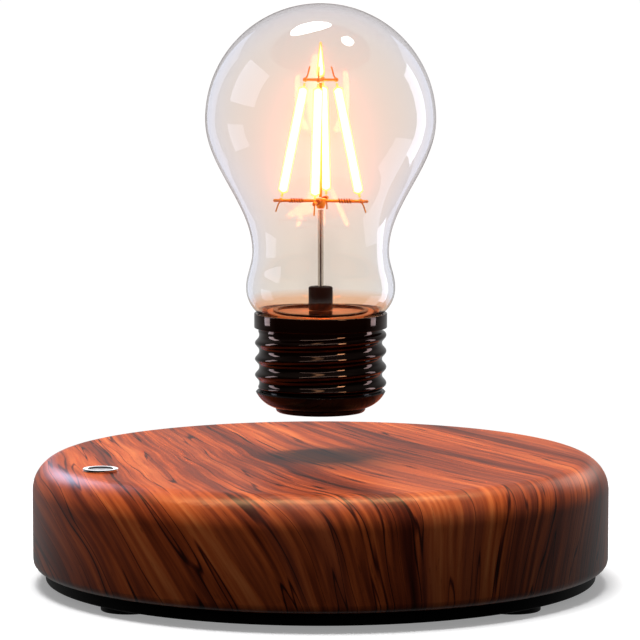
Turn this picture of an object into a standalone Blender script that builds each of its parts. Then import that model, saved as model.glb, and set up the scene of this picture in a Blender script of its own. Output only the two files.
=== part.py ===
"""Levitating bulb lamp, modelled in metres with +Z up.

A turned wooden base holds the drive electronics. A glass bulb with a threaded metal cap floats above it on a
magnetic field. The origin is on the table under the middle of the base, and the touch switch is at the
front left, towards -X and -Y. The bulb's pieces hang from an empty on the axis that it lifts and turns on.
"""

from collections import namedtuple
from math import acos, asin, atan2, ceil, cos, pi, radians, sin, sqrt, tau

import bmesh
import bpy
from mathutils import Matrix, Vector

COLLECTION_NAME = "levitating_bulb_lamp"
CUTTER_COLLECTION_NAME = "cutters"

# Fits shared by all pieces
FIT = 0.0003
OVERRUN = 0.001
MERGE_DISTANCE = 0.000001
THIN_WIRE = 0.0005

# Facet counts
BASE_SEGMENTS = 40
BULB_SEGMENTS = 28
PLATE_SEGMENTS = 20
SMALL_SEGMENTS = 12
WIRE_SEGMENTS = 8
KNOB_SEGMENTS = 6
KNOB_RINGS = 4
SHARP_ANGLE = radians(32)
TOP_FILLET_STEPS = 5
FILLET_STEPS = 2
DOME_STEPS = 6
FLANK_STEPS = 6
WAIST_STEPS = 3
BULGE_STEPS = 3
BOWL_STEPS = 3
THREAD_ROWS_PER_PITCH = 5

# Wooden body
BASE_RADIUS = 0.075
WOOD_HEIGHT = 0.02845
WOOD_TOP_FILLET = 0.0082
WOOD_BOTTOM_FILLET = 0.0024
WOOD_WALL = 0.006
WOOD_CEILING = 0.004
CAVITY_CHAMFER = 0.0015
LUG_COUNT = 4
LUG_RADIUS = 0.0045
LUG_INSET = 0.007
LUG_ANGLE = radians(65)

# Bottom tray and feet
TRAY_SETBACK = 0.0032
TRAY_PLATE = 0.0024
TRAY_RIM_RISE = 0.00055
TRAY_CHAMFER = 0.0005
LIP_RISE = 0.003
LIP_WALL = 0.0016
FOOT_RADIUS = 0.0072
FOOT_INSET = 0.0084
FOOT_SPREAD = radians(40.7)
FOOT_PROUD = 0.0015
FOOT_RECESS = 0.0008
FOOT_ROUNDING = 0.0004

# Screws that hold the tray to the wooden lugs
TRAY_SCREW_RADIUS = 0.0014
TRAY_SCREW_LENGTH = 0.009
TRAY_SCREW_HEAD_RADIUS = 0.003
TRAY_SCREW_HEAD_HEIGHT = 0.0009
TRAY_SCREW_SINK = 0.0013
SCREW_SLOT_WIDTH = 0.0006
SCREW_SLOT_DEPTH = 0.0004

# Main board
BOARD_MARGIN = 0.0035
BOARD_THICKNESS = 0.0016
STANDOFF_COUNT = 4
STANDOFF_RADIUS = 0.0032
STANDOFF_HEIGHT = 0.004
STANDOFF_INSET = 0.0035
STANDOFF_ANGLE = radians(45)
BOARD_SCREW_RADIUS = 0.0011
BOARD_SCREW_LENGTH = 0.0045
BOARD_SCREW_HEAD_RADIUS = 0.0021
BOARD_SCREW_HEAD_HEIGHT = 0.0012
TONGUE_WIDTH = 0.015

# Levitation drive
MAGNET_COUNT = 4
MAGNET_CIRCLE_SHARE = 0.515
BOBBIN_RADIUS_SHARE = 0.288
BOBBIN_HEIGHT = 0.0135
BOBBIN_FLANGE = 0.001
WINDING_STEP = 0.0008
CORE_RADIUS_SHARE = 0.42
CORE_CHAMFER = 0.0005
RING_MAGNET_ROOM = 0.0035
RING_MAGNET_BORE_SHARE = 0.702
RING_MAGNET_HEIGHT = 0.008
SENSOR_HOLDER_SIDE = 0.0084
SENSOR_HOLDER_HEIGHT = 0.0105
SENSOR_WIDTH = 0.0042
SENSOR_DEPTH = 0.0016
SENSOR_HEIGHT = 0.0032
SENSOR_SEAT = 0.0012
SENSOR_PITCH = 0.004
SENSOR_EDGE = 0.0003

# Power transmitter under the wooden top
TRANSMIT_OVERHANG = 0.002
TRANSMIT_BORE_SHARE = 0.612
TRANSMIT_HEIGHT = 0.0018
CARRIER_LIP = 0.002
CARRIER_HEIGHT = 0.0014
LEAD_RADIUS = 0.0006
LEAD_DIP = 0.002
LEAD_ANGLES = (0.0, radians(9))

# Board parts
CHIP_SIDE = 0.007
CHIP_HEIGHT = 0.0015
CHIP_EDGE = 0.0003
PART_CIRCLE_SHARE = 0.773
PART_ANGLE = radians(45)
CAPACITOR_RADIUS = 0.0038
CAPACITOR_HEIGHT = 0.0105
CAPACITOR_CHAMFER = 0.0005

# Power socket at the back
SOCKET_WIDTH = 0.009
SOCKET_LENGTH = 0.0135
SOCKET_BODY_HEIGHT = 0.0108
SOCKET_AXIS_RISE = 0.0064
SOCKET_NOSE_RADIUS = 0.005
SOCKET_NOSE_LENGTH = 0.0022
SOCKET_BORE_RADIUS = 0.0032
SOCKET_BORE_DEPTH = 0.0095
SOCKET_PIN_RADIUS = 0.00095
SOCKET_PIN_SETBACK = 0.0008
SOCKET_EDGE = 0.0004
SOCKET_HOLE_CLEARANCE = 0.0008

# Touch switch
BEZEL_RADIUS = 0.0045
BEZEL_FLANGE = 0.0004
BEZEL_STEM_RADIUS = 0.0037
BEZEL_STEM_BELOW = 0.0032
BEZEL_EDGE = 0.00012
NUT_RADIUS = 0.0052
NUT_HEIGHT = 0.0018
PAD_RADIUS = 0.003
PAD_SINK = 0.0002
PAD_THICKNESS = 0.001
PAD_SHANK_RADIUS = 0.0022
PAD_SHANK_BELOW = 0.001
SWITCH_ANGLE = radians(206.3)
SWITCH_LEAD_INSET = 0.0025

# Bulb heights: the gap that it floats at, and the stack inside the cap
FLOAT_GAP = 0.0116
BOSS_HEIGHT = 0.0014
BOSS_SETBACK = 0.0007
BOSS_ROUNDING = 0.0009
BOWL_STANDOUT = 0.00085
BOWL_DRAW = 0.00445
BOWL_HEIGHT = 0.0042
BOWL_BULGE = 0.0006
BOWL_LIP = 0.0003
CUP_FLOOR = 0.0013
CUP_WALL = 0.0012
CUP_RIM_HEIGHT = 0.0164
MAGNET_HEIGHT = 0.01
MAGNET_CHAMFER = 0.0005
RECEIVER_WIDTH = 0.0031
RECEIVER_HEIGHT = 0.0034
RECEIVER_LEDGE_HEIGHT = 0.0047
RECTIFIER_THICKNESS = 0.0013
RECTIFIER_CHIP_SIDE = 0.004
RECTIFIER_CHIP_HEIGHT = 0.0014
RECTIFIER_PART_OFFSET = 0.006
RECTIFIER_CAPACITOR_RADIUS = 0.0025
RECTIFIER_CAPACITOR_HEIGHT = 0.005

# Threaded cap shell and its collar
SHELL_WALL = 0.0005
THREAD_ROOT_RADIUS = 0.016
THREAD_DEPTH = 0.0011
THREAD_PITCH = 0.00418
THREAD_FIRST_CREST = 0.0017
THREAD_ZONE = 0.0159
THREAD_RUNOUT = 0.0012
THREAD_SHARPNESS_SHARE = 1.35  # the power that turns a cosine ridge into a narrow crest
SHELL_TOP_BAND = 0.0035
COLLAR_STANDOUT = 0.00128
COLLAR_HEIGHT = 0.00375
COLLAR_CHAMFER = 0.0004
COLLAR_EDGE = 0.0002

# Glass
GLASS_WALL = 0.0008
GLOBE_RADIUS = 0.02985
GLOBE_RISE = 0.05033
WAIST_DRAW = 0.00165
WAIST_RISE = 0.0160
BULGE_STANDOUT = 0.00335
BULGE_RISE = 0.0066
BULGE_CURVE = 0.0085

# Deck, post and rod inside the glass
DECK_FLANGE = 0.0008
DECK_SKIRT_WALL = 0.0008
DECK_PLATE = 0.0008
DECK_RISE = 0.0003
DECK_RING_INSET = 0.0016
DECK_RING_WIDTH = 0.0013
DECK_RING_HEIGHT = 0.0004
DECK_ROUNDING = 0.0003
POST_RADIUS = 0.00315
POST_HEIGHT = 0.0063
POST_ROUNDING = 0.0005
POST_SOCKET_DEPTH = 0.003
ROD_RADIUS = 0.00075
ROD_LENGTH = 0.0229

# Filament frame: lower and upper spiders, wire and light filaments
ARM_COUNT = 4
ARM_TURN = radians(-8.2)
ARM_RADIUS = 0.0004
KNOB_RADIUS = 0.0006
HOOK_RADIUS = 0.0002
HOOK_BEND_SHARE = 1 / 3
HUB_RADIUS = 0.00145
HUB_TIP_RADIUS = 0.00085
HUB_TIP_HEIGHT = 0.0014
HUB_HEIGHT = 0.0012
LOWER_ARM_REACH = 0.0123
LOWER_SEAT_REACH = 0.0104
LOWER_HOOK_DROP = 0.003
LOWER_HOOK_OUT = 0.0014
UPPER_HUB_RADIUS = 0.0009
UPPER_HUB_HEIGHT = 0.0010
UPPER_ARM_REACH = 0.0046
UPPER_SEAT_REACH = 0.0040
UPPER_HOOK_RISE = 0.0034
UPPER_HOOK_IN = 0.0012
SUPPORT_WIRE_RADIUS = 0.0004
FRAME_HEIGHT = 0.0311
FILAMENT_RADIUS = 0.0009
FILAMENT_PIN_RADIUS = 0.0003
FILAMENT_PIN_LENGTH = 0.0009
FILAMENT_TAPER = 0.0006
TIP_FILAMENT_HEIGHT = 0.0090
TIP_FILAMENT_RADIUS = 0.0011
TIP_FILAMENT_POINT = 0.0003

# Radii and circles in the base, from the wooden wall inwards
CAVITY_RADIUS = BASE_RADIUS - WOOD_WALL
TRAY_RADIUS = BASE_RADIUS - TRAY_SETBACK
FOOT_CIRCLE = TRAY_RADIUS - FOOT_INSET
SWITCH_CIRCLE = BASE_RADIUS - WOOD_TOP_FILLET - BEZEL_RADIUS
LUG_CIRCLE = CAVITY_RADIUS - LUG_INSET
BOARD_RADIUS = LUG_CIRCLE - LUG_RADIUS - BOARD_MARGIN
SWITCH_LEAD_CIRCLE = BOARD_RADIUS - SWITCH_LEAD_INSET
STANDOFF_CIRCLE = BOARD_RADIUS - STANDOFF_INSET
RING_MAGNET_OUTER = STANDOFF_CIRCLE - RING_MAGNET_ROOM
RING_MAGNET_INNER = RING_MAGNET_OUTER * RING_MAGNET_BORE_SHARE
MAGNET_CIRCLE = RING_MAGNET_INNER * MAGNET_CIRCLE_SHARE
BOBBIN_RADIUS = RING_MAGNET_INNER * BOBBIN_RADIUS_SHARE
CORE_RADIUS = BOBBIN_RADIUS * CORE_RADIUS_SHARE
PART_CIRCLE = RING_MAGNET_INNER * PART_CIRCLE_SHARE
TRANSMIT_OUTER = RING_MAGNET_OUTER + TRANSMIT_OVERHANG
TRANSMIT_INNER = TRANSMIT_OUTER * TRANSMIT_BORE_SHARE
CARRIER_INNER = TRANSMIT_INNER - CARRIER_LIP
LEAD_CIRCLE = (TRANSMIT_OUTER + BOARD_RADIUS) / 2

# Heights in the base, from the table up
TRAY_BOTTOM = FOOT_PROUD
TRAY_FLOOR = TRAY_BOTTOM + TRAY_PLATE
TRAY_RIM_TOP = TRAY_FLOOR + TRAY_RIM_RISE
WOOD_BOTTOM = TRAY_RIM_TOP + FIT
WOOD_TOP = WOOD_BOTTOM + WOOD_HEIGHT
CEILING = WOOD_TOP - WOOD_CEILING
BOARD_BOTTOM = TRAY_FLOOR + STANDOFF_HEIGHT + FIT
BOARD_TOP = BOARD_BOTTOM + BOARD_THICKNESS
ON_BOARD = BOARD_TOP + FIT
SOCKET_AXIS = ON_BOARD + SOCKET_AXIS_RISE
SOCKET_FRONT = sqrt((CAVITY_RADIUS - FIT) ** 2 - (SOCKET_WIDTH / 2) ** 2)
TRANSMIT_TOP = CEILING - FIT
CARRIER_TOP = TRANSMIT_TOP - TRANSMIT_HEIGHT - FIT

# Radii in the bulb, from the root of the thread outwards and inwards
COLLAR_RADIUS = THREAD_ROOT_RADIUS + COLLAR_STANDOUT
BULGE_RADIUS = THREAD_ROOT_RADIUS + BULGE_STANDOUT
WAIST_RADIUS = BULGE_RADIUS - WAIST_DRAW
BOWL_RADIUS = THREAD_ROOT_RADIUS + BOWL_STANDOUT
BOWL_FOOT_RADIUS = BOWL_RADIUS - BOWL_DRAW
BOSS_RADIUS = BOWL_FOOT_RADIUS - BOSS_SETBACK
CUP_RADIUS = THREAD_ROOT_RADIUS - SHELL_WALL - FIT
RECEIVER_RADIUS = CUP_RADIUS - CUP_WALL - FIT
MAGNET_RADIUS = RECEIVER_RADIUS - RECEIVER_WIDTH - FIT
DECK_RADIUS = CUP_RADIUS - GLASS_WALL - FIT
DECK_RING_OUTER = DECK_RADIUS - DECK_RING_INSET
DECK_RING_INNER = DECK_RING_OUTER - DECK_RING_WIDTH

# Heights in the bulb, from the bottom of its cap up
CAP_BOTTOM = WOOD_TOP + FLOAT_GAP
BOWL_FOOT = CAP_BOTTOM + BOSS_HEIGHT
BOWL_TOP = BOWL_FOOT + BOWL_HEIGHT
SHELL_BOTTOM = BOWL_TOP + FIT
CUP_RIM = CAP_BOTTOM + CUP_RIM_HEIGHT
RECTIFIER_BOTTOM = CUP_RIM + FIT
RECTIFIER_TOP = RECTIFIER_BOTTOM + RECTIFIER_THICKNESS
DECK_BOTTOM = RECTIFIER_TOP + FIT
NECK_END = DECK_BOTTOM + DECK_FLANGE + FIT
SHELL_THREAD_TOP = SHELL_BOTTOM + THREAD_ZONE
COLLAR_BOTTOM = SHELL_THREAD_TOP + FIT
COLLAR_TOP = COLLAR_BOTTOM + COLLAR_HEIGHT
DECK_TOP = COLLAR_TOP + DECK_RISE
POST_BOTTOM = DECK_TOP + FIT
POST_TOP = POST_BOTTOM + POST_HEIGHT
ROD_BOTTOM = POST_TOP - POST_SOCKET_DEPTH + FIT
ROD_TOP = ROD_BOTTOM + ROD_LENGTH
LOWER_HUB_BOTTOM = ROD_TOP + FIT
LOWER_ARMS = LOWER_HUB_BOTTOM + HUB_TIP_HEIGHT + HUB_HEIGHT / 2
LOWER_HUB_TOP = LOWER_ARMS + HUB_HEIGHT / 2
UPPER_ARMS = LOWER_ARMS + FRAME_HEIGHT
UPPER_HUB_BOTTOM = UPPER_ARMS - UPPER_HUB_HEIGHT / 2
UPPER_HUB_TOP = UPPER_ARMS + UPPER_HUB_HEIGHT / 2
BULGE_HEIGHT = COLLAR_TOP + BULGE_RISE
WAIST_HEIGHT = COLLAR_TOP + WAIST_RISE
GLOBE_HEIGHT = COLLAR_TOP + GLOBE_RISE

# Colour as an sRGB hex value, then roughness, metallic, transmission and glow
Finish = namedtuple("Finish", "colour roughness metallic transmission glow", defaults=(0.0, 0.0))
WOOD = Finish("7A3414", 0.35, 0.0)
TRAY_BLACK = Finish("0A0A0C", 0.55, 0.0)
RUBBER_BLACK = Finish("060606", 0.85, 0.0)
ZINC_STEEL = Finish("B9BCC0", 0.30, 1.0)
BOARD_GREEN = Finish("123A22", 0.45, 0.0)
COPPER_WINDING = Finish("A8572A", 0.35, 1.0)
CORE_IRON = Finish("5C5C60", 0.40, 1.0)
FERRITE_GREY = Finish("2B2B2E", 0.60, 0.0)
NICKEL = Finish("C9C9C6", 0.18, 1.0)
MOULDED_BLACK = Finish("0B0B0C", 0.45, 0.0)
CAPACITOR_SLEEVE = Finish("1B2440", 0.35, 0.0)
BRIGHT_BEZEL = Finish("E8E8EA", 0.15, 1.0)
SWITCH_PAD = Finish("D5D5D8", 0.30, 1.0)
CLEAR_GLASS = Finish("F4F6FA", 0.02, 0.0, 1.0)
BLACK_NICKEL = Finish("2A1B18", 0.12, 1.0)
GLOSS_BLACK = Finish("0C0808", 0.12, 0.0)
COPPER_DECK = Finish("B36A3C", 0.20, 1.0)
SATIN_BLACK = Finish("070707", 0.35, 0.0)
GOLD_WIRE = Finish("B98A45", 0.25, 1.0)
LIT_FILAMENT = Finish("FFC878", 0.40, 0.0, 0.0, 8.0)


def clear_scene():
    for item in list(bpy.data.objects):
        bpy.data.objects.remove(item, do_unlink=True)


def new_collection(name):
    collection = bpy.data.collections.new(name)
    bpy.context.scene.collection.children.link(collection)
    return collection


def linear_colour(hex_colour):
    shares = [int(hex_colour[i : i + 2], 16) / 255 for i in (0, 2, 4)]
    return [s / 12.92 if s <= 0.04045 else ((s + 0.055) / 1.055) ** 2.4 for s in shares] + [1.0]


def dress(item, finish):
    """Give an object its own Principled material."""
    material = bpy.data.materials.new(f"{item.name}_finish")
    material.use_nodes = True
    shader = material.node_tree.nodes["Principled BSDF"]
    colour = linear_colour(finish.colour)
    shader.inputs["Base Color"].default_value = colour
    shader.inputs["Roughness"].default_value = finish.roughness
    shader.inputs["Metallic"].default_value = finish.metallic
    shader.inputs["Transmission Weight"].default_value = finish.transmission
    shader.inputs["Emission Color"].default_value = colour
    shader.inputs["Emission Strength"].default_value = finish.glow
    material.diffuse_color = colour
    item.data.materials.clear()
    item.data.materials.append(material)


class Workshop:
    """The two collections and the operations that make objects in them."""

    def __init__(self):
        self.parts = new_collection(COLLECTION_NAME)
        self.cutters = new_collection(CUTTER_COLLECTION_NAME)

    def place(self, name, data):
        item = bpy.data.objects.new(name, data)
        self.parts.objects.link(item)
        return item

    def empty(self, name, height=0.0):
        item = self.place(name, None)
        item.location.z = height
        return item

    def turned(self, name, profile, segments, closed=False):
        """Turn a profile of (radius, height) points, which runs down its outer side, about +Z."""
        mesh = bpy.data.meshes.new(name)
        edges = [(i, i + 1) for i in range(len(profile) - 1)]
        if closed:
            edges.append((len(profile) - 1, 0))
        mesh.from_pydata([(radius, 0, height) for radius, height in profile], edges, [])
        item = self.place(name, mesh)
        screw = item.modifiers.new("turn", "SCREW")
        screw.angle = tau
        screw.steps = screw.render_steps = segments
        screw.use_merge_vertices = True
        screw.merge_threshold = MERGE_DISTANCE
        return item

    def cylinder(self, name, radius, bottom, top, segments, end_radius=None):
        bm = bmesh.new()
        bmesh.ops.create_cone(
            bm,
            cap_ends=True,
            segments=segments,
            radius1=radius,
            radius2=radius if end_radius is None else end_radius,
            depth=top - bottom,
            matrix=Matrix.Translation((0, 0, (top + bottom) / 2)),
        )
        return self.from_bmesh(name, bm)

    def box(self, name, size, centre, edge=0.0):
        bm = bmesh.new()
        placed = Matrix.Translation(centre) @ Matrix.Diagonal((*size, 1))
        bmesh.ops.create_cube(bm, size=1, matrix=placed)
        item = self.from_bmesh(name, bm)
        if edge:
            bevel = item.modifiers.new("edges", "BEVEL")
            bevel.width = edge
            bevel.segments = 1
        return item

    def ball(self, name, radius, centre):
        bm = bmesh.new()
        bmesh.ops.create_uvsphere(
            bm,
            u_segments=KNOB_SEGMENTS,
            v_segments=KNOB_RINGS,
            radius=radius,
            matrix=Matrix.Translation(centre),
        )
        return self.from_bmesh(name, bm)

    def wire(self, name, points, radius):
        """A round wire along the points, as a mesh with welded ends."""
        curve = bpy.data.curves.new(name, "CURVE")
        curve.dimensions = "3D"
        spline = curve.splines.new("POLY")
        spline.points.add(len(points) - 1)
        for knot, point in zip(spline.points, points):
            knot.co = (*point, 1)
        curve.bevel_depth = radius
        curve.bevel_resolution = 0 if radius < THIN_WIRE else 1
        curve.use_fill_caps = True
        guide = self.place(f"{name}_route", curve)
        bpy.context.view_layer.update()
        graph = bpy.context.evaluated_depsgraph_get()
        bm = bmesh.new()
        bm.from_mesh(bpy.data.meshes.new_from_object(guide.evaluated_get(graph)))
        bmesh.ops.remove_doubles(bm, verts=bm.verts, dist=MERGE_DISTANCE)
        bmesh.ops.recalc_face_normals(bm, faces=bm.faces)
        bpy.data.objects.remove(guide, do_unlink=True)
        return self.from_bmesh(name, bm)

    def from_bmesh(self, name, bm):
        mesh = bpy.data.meshes.new(name)
        bm.to_mesh(mesh)
        bm.free()
        return self.place(name, mesh)

    def combine(self, item, tool, operation, solver="EXACT"):
        """Cut or join with another object, which goes to the cutters."""
        self.parts.objects.unlink(tool)
        self.cutters.objects.link(tool)
        tool.hide_render = True
        tool.display_type = "WIRE"
        step = item.modifiers.new(tool.name, "BOOLEAN")
        step.operation = operation
        step.solver = solver
        step.object = tool

    def cut(self, item, tool):
        self.combine(item, tool, "DIFFERENCE")

    def join(self, item, tool):
        self.combine(item, tool, "UNION")

    def join_fine(self, item, tool):
        """Join thin wires that cross at shallow angles, where the exact solver leaves open edges."""
        self.combine(item, tool, "UNION", "MANIFOLD")

    def finish(self, item, finish, parent):
        """Apply the modifiers, shade round faces smooth, dress the object and hang it from its parent."""
        bpy.context.view_layer.update()
        graph = bpy.context.evaluated_depsgraph_get()
        mesh = bpy.data.meshes.new_from_object(item.evaluated_get(graph))
        item.modifiers.clear()
        item.data = mesh
        mesh.name = item.name
        mesh.shade_smooth()
        mesh.set_sharp_from_angle(angle=SHARP_ANGLE)
        dress(item, finish)
        item.parent = parent
        item.matrix_parent_inverse = Matrix.Translation(-parent.location)
        return item


def around(count, start_angle):
    """Evenly spaced angles."""
    return [start_angle + tau * i / count for i in range(count)]


def on_circle(radius, angle, height=0.0):
    return Vector((radius * cos(angle), radius * sin(angle), height))


def arc(centre, radius, start, end, steps):
    """Points on an arc in the profile plane, both ends included."""
    turns = [start + (end - start) * i / steps for i in range(steps + 1)]
    return [(centre[0] + radius * cos(t), centre[1] + radius * sin(t)) for t in turns]


def bulged(start, end, rise, steps):
    """Points on the arc from start to end that stands out by rise to the right of that line."""
    chord = Vector((end[0] - start[0], end[1] - start[1]))
    half = chord.length / 2
    radius = (half**2 + rise**2) / (2 * rise)
    side = Vector((-chord.y, chord.x)).normalized()
    centre = Vector(start) + chord / 2 + side * (radius - rise)
    first = atan2(start[1] - centre.y, start[0] - centre.x)
    swing = 2 * asin(half / radius)
    return arc(centre, radius, first, first + swing, steps)


def eased(start, end, steps):
    """Points between two turning points of a smooth outline, the first left out."""
    shares = [(i + 1) / steps for i in range(steps)]
    across = [start[0] + (end[0] - start[0]) * (1 - cos(pi * s)) / 2 for s in shares]
    return [(radius, start[1] + (end[1] - start[1]) * s) for radius, s in zip(across, shares)]


def ring_profile(inner, outer, bottom, top):
    return [(inner, top), (outer, top), (outer, bottom), (inner, bottom)]


def wooden_body(shop, frame):
    """The turned shell, its lugs for the tray screws, the switch hole and the socket hole."""
    top_centre = (BASE_RADIUS - WOOD_TOP_FILLET, WOOD_TOP - WOOD_TOP_FILLET)
    bottom_centre = (BASE_RADIUS - WOOD_BOTTOM_FILLET, WOOD_BOTTOM + WOOD_BOTTOM_FILLET)
    profile = [
        (0, WOOD_TOP),
        *arc(top_centre, WOOD_TOP_FILLET, pi / 2, 0, TOP_FILLET_STEPS),
        *arc(bottom_centre, WOOD_BOTTOM_FILLET, 0, -pi / 2, FILLET_STEPS),
        (CAVITY_RADIUS, WOOD_BOTTOM),
        (CAVITY_RADIUS, CEILING - CAVITY_CHAMFER),
        (CAVITY_RADIUS - CAVITY_CHAMFER, CEILING),
        (0, CEILING),
    ]
    body = shop.turned("base_shell", profile, BASE_SEGMENTS)
    for i, angle in enumerate(around(LUG_COUNT, LUG_ANGLE)):
        lug = shop.cylinder(f"lug_{i + 1}", LUG_RADIUS, TRAY_FLOOR + FIT, CEILING + OVERRUN, SMALL_SEGMENTS)
        lug.location = on_circle(LUG_CIRCLE, angle)
        shop.join(body, lug)
    pilot_top = TRAY_BOTTOM + TRAY_SCREW_SINK + TRAY_SCREW_LENGTH + OVERRUN
    for i, angle in enumerate(around(LUG_COUNT, LUG_ANGLE)):
        pilot = shop.cylinder(
            f"pilot_{i + 1}", TRAY_SCREW_RADIUS + FIT, TRAY_FLOOR - OVERRUN, pilot_top, WIRE_SEGMENTS
        )
        pilot.location = on_circle(LUG_CIRCLE, angle)
        shop.cut(body, pilot)
    switch_hole = shop.cylinder(
        "switch_hole", BEZEL_STEM_RADIUS + FIT, CEILING - OVERRUN, WOOD_TOP + OVERRUN, SMALL_SEGMENTS
    )
    switch_hole.location = on_circle(SWITCH_CIRCLE, SWITCH_ANGLE)
    shop.cut(body, switch_hole)
    hole_radius = SOCKET_NOSE_RADIUS + SOCKET_HOLE_CLEARANCE
    hole_end = BASE_RADIUS + OVERRUN
    socket_hole = shop.cylinder("socket_hole", hole_radius, BOARD_RADIUS, hole_end, SMALL_SEGMENTS)
    socket_hole.rotation_euler.x = -pi / 2
    socket_hole.location.z = SOCKET_AXIS
    shop.cut(body, socket_hole)
    shop.finish(body, WOOD, frame)


def foot_angles():
    """The feet stand mirrored to both sides of the X and the Y axis."""
    return [FOOT_SPREAD, pi - FOOT_SPREAD, pi + FOOT_SPREAD, -FOOT_SPREAD]


def bottom_tray(shop, frame):
    """The black tray: visible rim, lip inside the wood, board standoffs, foot and screw recesses."""
    lip_outer = CAVITY_RADIUS - FIT
    lip_inner = lip_outer - LIP_WALL
    lip_top = WOOD_BOTTOM + LIP_RISE
    profile = [
        (0, TRAY_FLOOR),
        (lip_inner, TRAY_FLOOR),
        (lip_inner, lip_top),
        (lip_outer, lip_top),
        (lip_outer, TRAY_RIM_TOP),
        (TRAY_RADIUS, TRAY_RIM_TOP),
        (TRAY_RADIUS, TRAY_BOTTOM + TRAY_CHAMFER),
        (TRAY_RADIUS - TRAY_CHAMFER, TRAY_BOTTOM),
        (0, TRAY_BOTTOM),
    ]
    tray = shop.turned("base_tray", profile, BASE_SEGMENTS)
    standoff_top = BOARD_BOTTOM - FIT
    screw_bottom = BOARD_TOP - BOARD_SCREW_LENGTH - FIT
    for i, angle in enumerate(around(STANDOFF_COUNT, STANDOFF_ANGLE)):
        standoff = shop.cylinder(
            f"standoff_{i + 1}", STANDOFF_RADIUS, TRAY_FLOOR - TRAY_PLATE / 2, standoff_top, SMALL_SEGMENTS
        )
        standoff.location = on_circle(STANDOFF_CIRCLE, angle)
        shop.join(tray, standoff)
    for i, angle in enumerate(around(STANDOFF_COUNT, STANDOFF_ANGLE)):
        hole_top = standoff_top + OVERRUN
        hole = shop.cylinder(
            f"standoff_hole_{i + 1}", BOARD_SCREW_RADIUS + FIT, screw_bottom, hole_top, WIRE_SEGMENTS
        )
        hole.location = on_circle(STANDOFF_CIRCLE, angle)
        shop.cut(tray, hole)
    for i, angle in enumerate(foot_angles()):
        recess_top = TRAY_BOTTOM + FOOT_RECESS
        recess = shop.cylinder(
            f"foot_recess_{i + 1}", FOOT_RADIUS + FIT, TRAY_BOTTOM - OVERRUN, recess_top, SMALL_SEGMENTS
        )
        recess.location = on_circle(FOOT_CIRCLE, angle)
        shop.cut(tray, recess)
    for i, angle in enumerate(around(LUG_COUNT, LUG_ANGLE)):
        sink_top = TRAY_BOTTOM + TRAY_SCREW_SINK
        sink_radius = TRAY_SCREW_HEAD_RADIUS + FIT
        sink_bottom = TRAY_BOTTOM - OVERRUN
        hole_radius = TRAY_SCREW_RADIUS + FIT
        hole_top = TRAY_FLOOR + OVERRUN
        sink = shop.cylinder(f"screw_sink_{i + 1}", sink_radius, sink_bottom, sink_top, SMALL_SEGMENTS)
        through = shop.cylinder(f"screw_hole_{i + 1}", hole_radius, TRAY_BOTTOM, hole_top, WIRE_SEGMENTS)
        for tool in (sink, through):
            tool.location = on_circle(LUG_CIRCLE, angle)
            shop.cut(tray, tool)
    shop.finish(tray, TRAY_BLACK, frame)


def feet(shop, frame):
    top = TRAY_BOTTOM + FOOT_RECESS - FIT
    profile = [
        (0, top),
        (FOOT_RADIUS, top),
        (FOOT_RADIUS, FOOT_ROUNDING),
        (FOOT_RADIUS - FOOT_ROUNDING, 0),
        (0, 0),
    ]
    for i, angle in enumerate(foot_angles()):
        foot = shop.turned(f"foot_{i + 1}", profile, SMALL_SEGMENTS)
        foot.location = on_circle(FOOT_CIRCLE, angle)
        shop.finish(foot, RUBBER_BLACK, frame)


def plain_screw(shop, name, radius, length, head_radius, head_height):
    """A screw that points up, with the seat under its head at height zero."""
    profile = [(0, length), (radius, length - radius), (radius, 0)]
    profile += [(head_radius, 0), (head_radius, -head_height), (0, -head_height)]
    return shop.turned(name, profile, SMALL_SEGMENTS)


def tray_screws(shop, frame):
    """Slotted screws that go up through the tray into the wooden lugs."""
    for i, angle in enumerate(around(LUG_COUNT, LUG_ANGLE)):
        name = f"tray_screw_{i + 1}"
        head = (TRAY_SCREW_HEAD_RADIUS, TRAY_SCREW_HEAD_HEIGHT)
        screw = plain_screw(shop, name, TRAY_SCREW_RADIUS, TRAY_SCREW_LENGTH, *head)
        slot_size = (2 * TRAY_SCREW_HEAD_RADIUS + 2 * OVERRUN, SCREW_SLOT_WIDTH, 2 * SCREW_SLOT_DEPTH)
        slot = shop.box(f"{name}_slot", slot_size, (0, 0, -TRAY_SCREW_HEAD_HEIGHT))
        shop.cut(screw, slot)
        for item in (screw, slot):
            item.location = on_circle(LUG_CIRCLE, angle, TRAY_BOTTOM + TRAY_SCREW_SINK - FIT)
        shop.finish(screw, ZINC_STEEL, frame)


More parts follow.
